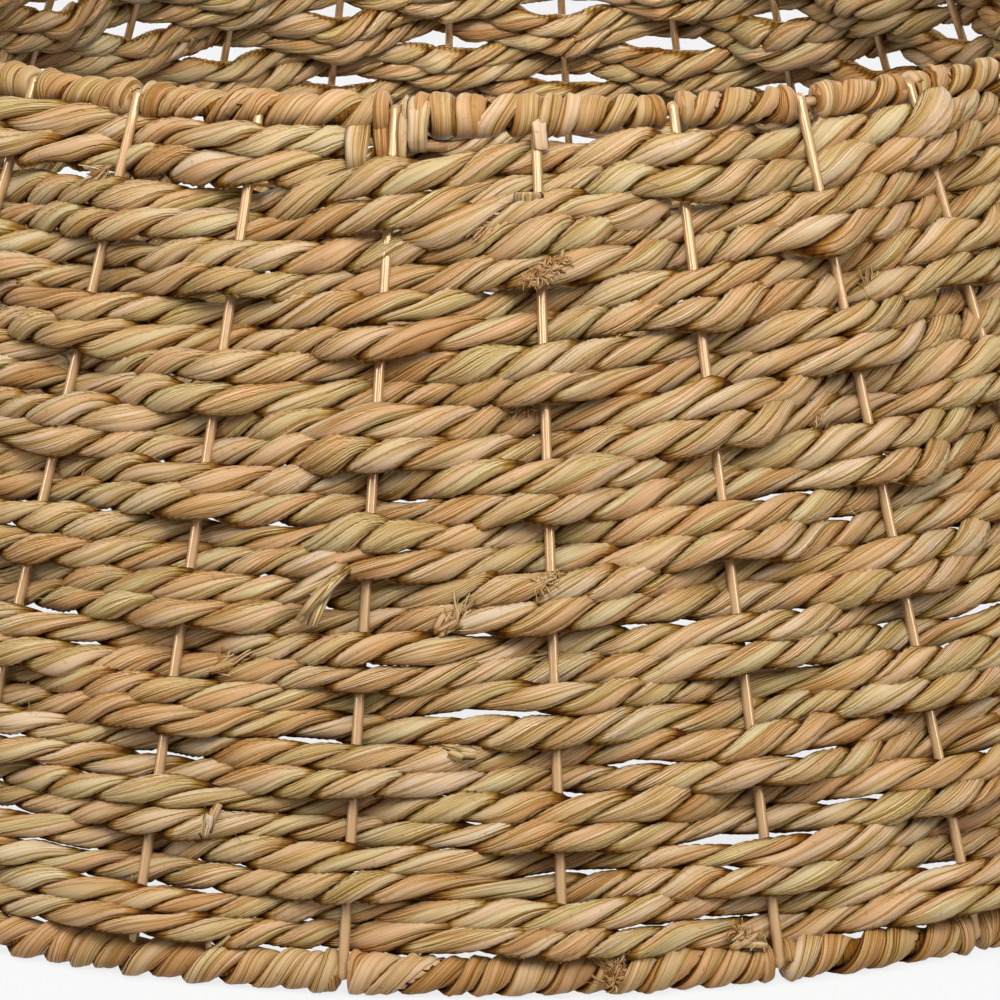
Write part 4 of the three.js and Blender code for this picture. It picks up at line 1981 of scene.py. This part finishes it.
@dataclass
class Studio:
    """Floor, soft light and camera; the camera's numbers come from the ribs and rims of the photograph."""

    distance: float = 1.5178
    height: float = 0.4902
    aside: float = 0.0046
    azimuth: float = math.radians(1.64)
    pitch: float = math.radians(15.769)
    focal_pixels: float = 4023.0
    sensor: float = 36.0
    floor_half: float = 6.0
    floor_height: float = -0.0004
    floor_paint: Colour = srgb(192, 192, 192)
    floor_glow: float = 0.82
    sky_light: float = 0.32
    white: Colour = (1.0, 1.0, 1.0, 1.0)

    def add_camera(self) -> None:
        """Makes the camera at the photograph's viewing angle and sets it as the scene's."""
        data = bpy.data.cameras.new("photo_camera")
        data.sensor_width = self.sensor
        data.lens = self.focal_pixels * self.sensor / IMAGE_SIDE
        camera = bpy.data.objects.new("photo_camera", data)
        toward = (math.sin(self.azimuth), -math.cos(self.azimuth))
        right = (math.cos(self.azimuth), math.sin(self.azimuth))
        camera.location = (
            toward[0] * self.distance + right[0] * self.aside,
            toward[1] * self.distance + right[1] * self.aside,
            self.height,
        )
        camera.rotation_euler = (math.pi / 2 - self.pitch, 0.0, self.azimuth)
        bpy.context.scene.collection.objects.link(camera)
        bpy.context.scene.camera = camera

    def background_rays(self, s: Shader) -> Socket:
        """Adds a mask of the rays that show the background: the camera's, reflections and looks through.

        Args:
            s: the floor's or the world's shader.

        Returns:
            1 for those rays and 0 for the rays that light the collar.
        """
        path = s.node("ShaderNodeLightPath").outputs
        seen = s.math("MAXIMUM", path["Is Camera Ray"], path["Is Glossy Ray"])
        return s.math("MAXIMUM", seen, path["Is Transmission Ray"])

    def add_floor(self) -> None:
        """Lays a pale floor that the camera sees as nearly white, with the collar's shadow on it."""
        half = self.floor_half
        mesh = bpy.data.meshes.new("floor")
        corners = [(-half, -half), (half, -half), (half, half), (-half, half)]
        mesh.from_pydata([(x, y, self.floor_height) for x, y in corners], [], [(0, 1, 2, 3)])
        floor = bpy.data.objects.new("floor", mesh)
        bpy.context.scene.collection.objects.link(floor)
        made = bpy.data.materials.new("pale_floor")
        s = fresh_shader(made)
        paint = s.node("ShaderNodeBsdfDiffuse", None, Color=self.floor_paint).outputs[0]
        glow = s.node("ShaderNodeEmission", None, Color=self.white, Strength=1.0).outputs[0]
        share = s.math("MULTIPLY", self.background_rays(s), self.floor_glow)
        mixed = s.node("ShaderNodeMixShader", None, i0=share, i1=paint, i2=glow).outputs[0]
        s.node("ShaderNodeOutputMaterial", None, Surface=mixed)
        mesh.materials.append(made)

    def add_world(self) -> None:
        """Fills the shadows from a pale sky, which is white where the background shows."""
        world = bpy.data.worlds.new("studio")
        bpy.context.scene.world = world
        s = fresh_shader(world)
        strength = s.spread(self.background_rays(s), 0.0, 1.0, self.sky_light, 1.0)
        sky = s.node("ShaderNodeBackground", None, Color=self.white, Strength=strength).outputs[0]
        s.node("ShaderNodeOutputWorld", None, Surface=sky)

    def build(self) -> None:
        """Sets up the whole studio."""
        self.add_camera()
        self.add_floor()
        for lamp in LAMPS:
            lamp.add()
        self.add_world()
        bpy.context.scene.view_settings.view_transform = "Standard"


COURSE_SEED = 1000
RIM_SEEDS = {Rim.TOP: 53, Rim.BOTTOM: 56}
ENDS_SEED = 77


def main() -> None:
    """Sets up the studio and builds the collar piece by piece."""
    logging.basicConfig(level=logging.INFO, format="%(message)s")
    wall = Wall()
    Studio().build()
    group = BladeLook().build()
    rope_finish = GrassFinish("twisted_grass").material(group)
    strip_finish = GrassFinish("grass_strip", blades=120.0, vary=0.6, fold=1.3, blush=0.5).material(group)
    wire_finish = WireFinish().material()
    form = RopeForm()
    for number in range(1, wall.full_courses + 2):
        course = RopeCourse(wall, form, number)
        course.dress(course.build(np.random.default_rng(COURSE_SEED + number)), rope_finish)
    for rim in Rim:
        binding = RimBinding(wall, rim)
        binding.dress(binding.build(np.random.default_rng(RIM_SEEDS[rim])), strip_finish)
    ends = CutEnds(wall)
    ends.dress(ends.build(np.random.default_rng(ENDS_SEED)), strip_finish)
    WireFrame(wall).dress(wire_finish)


if __name__ == "__main__":
    main()
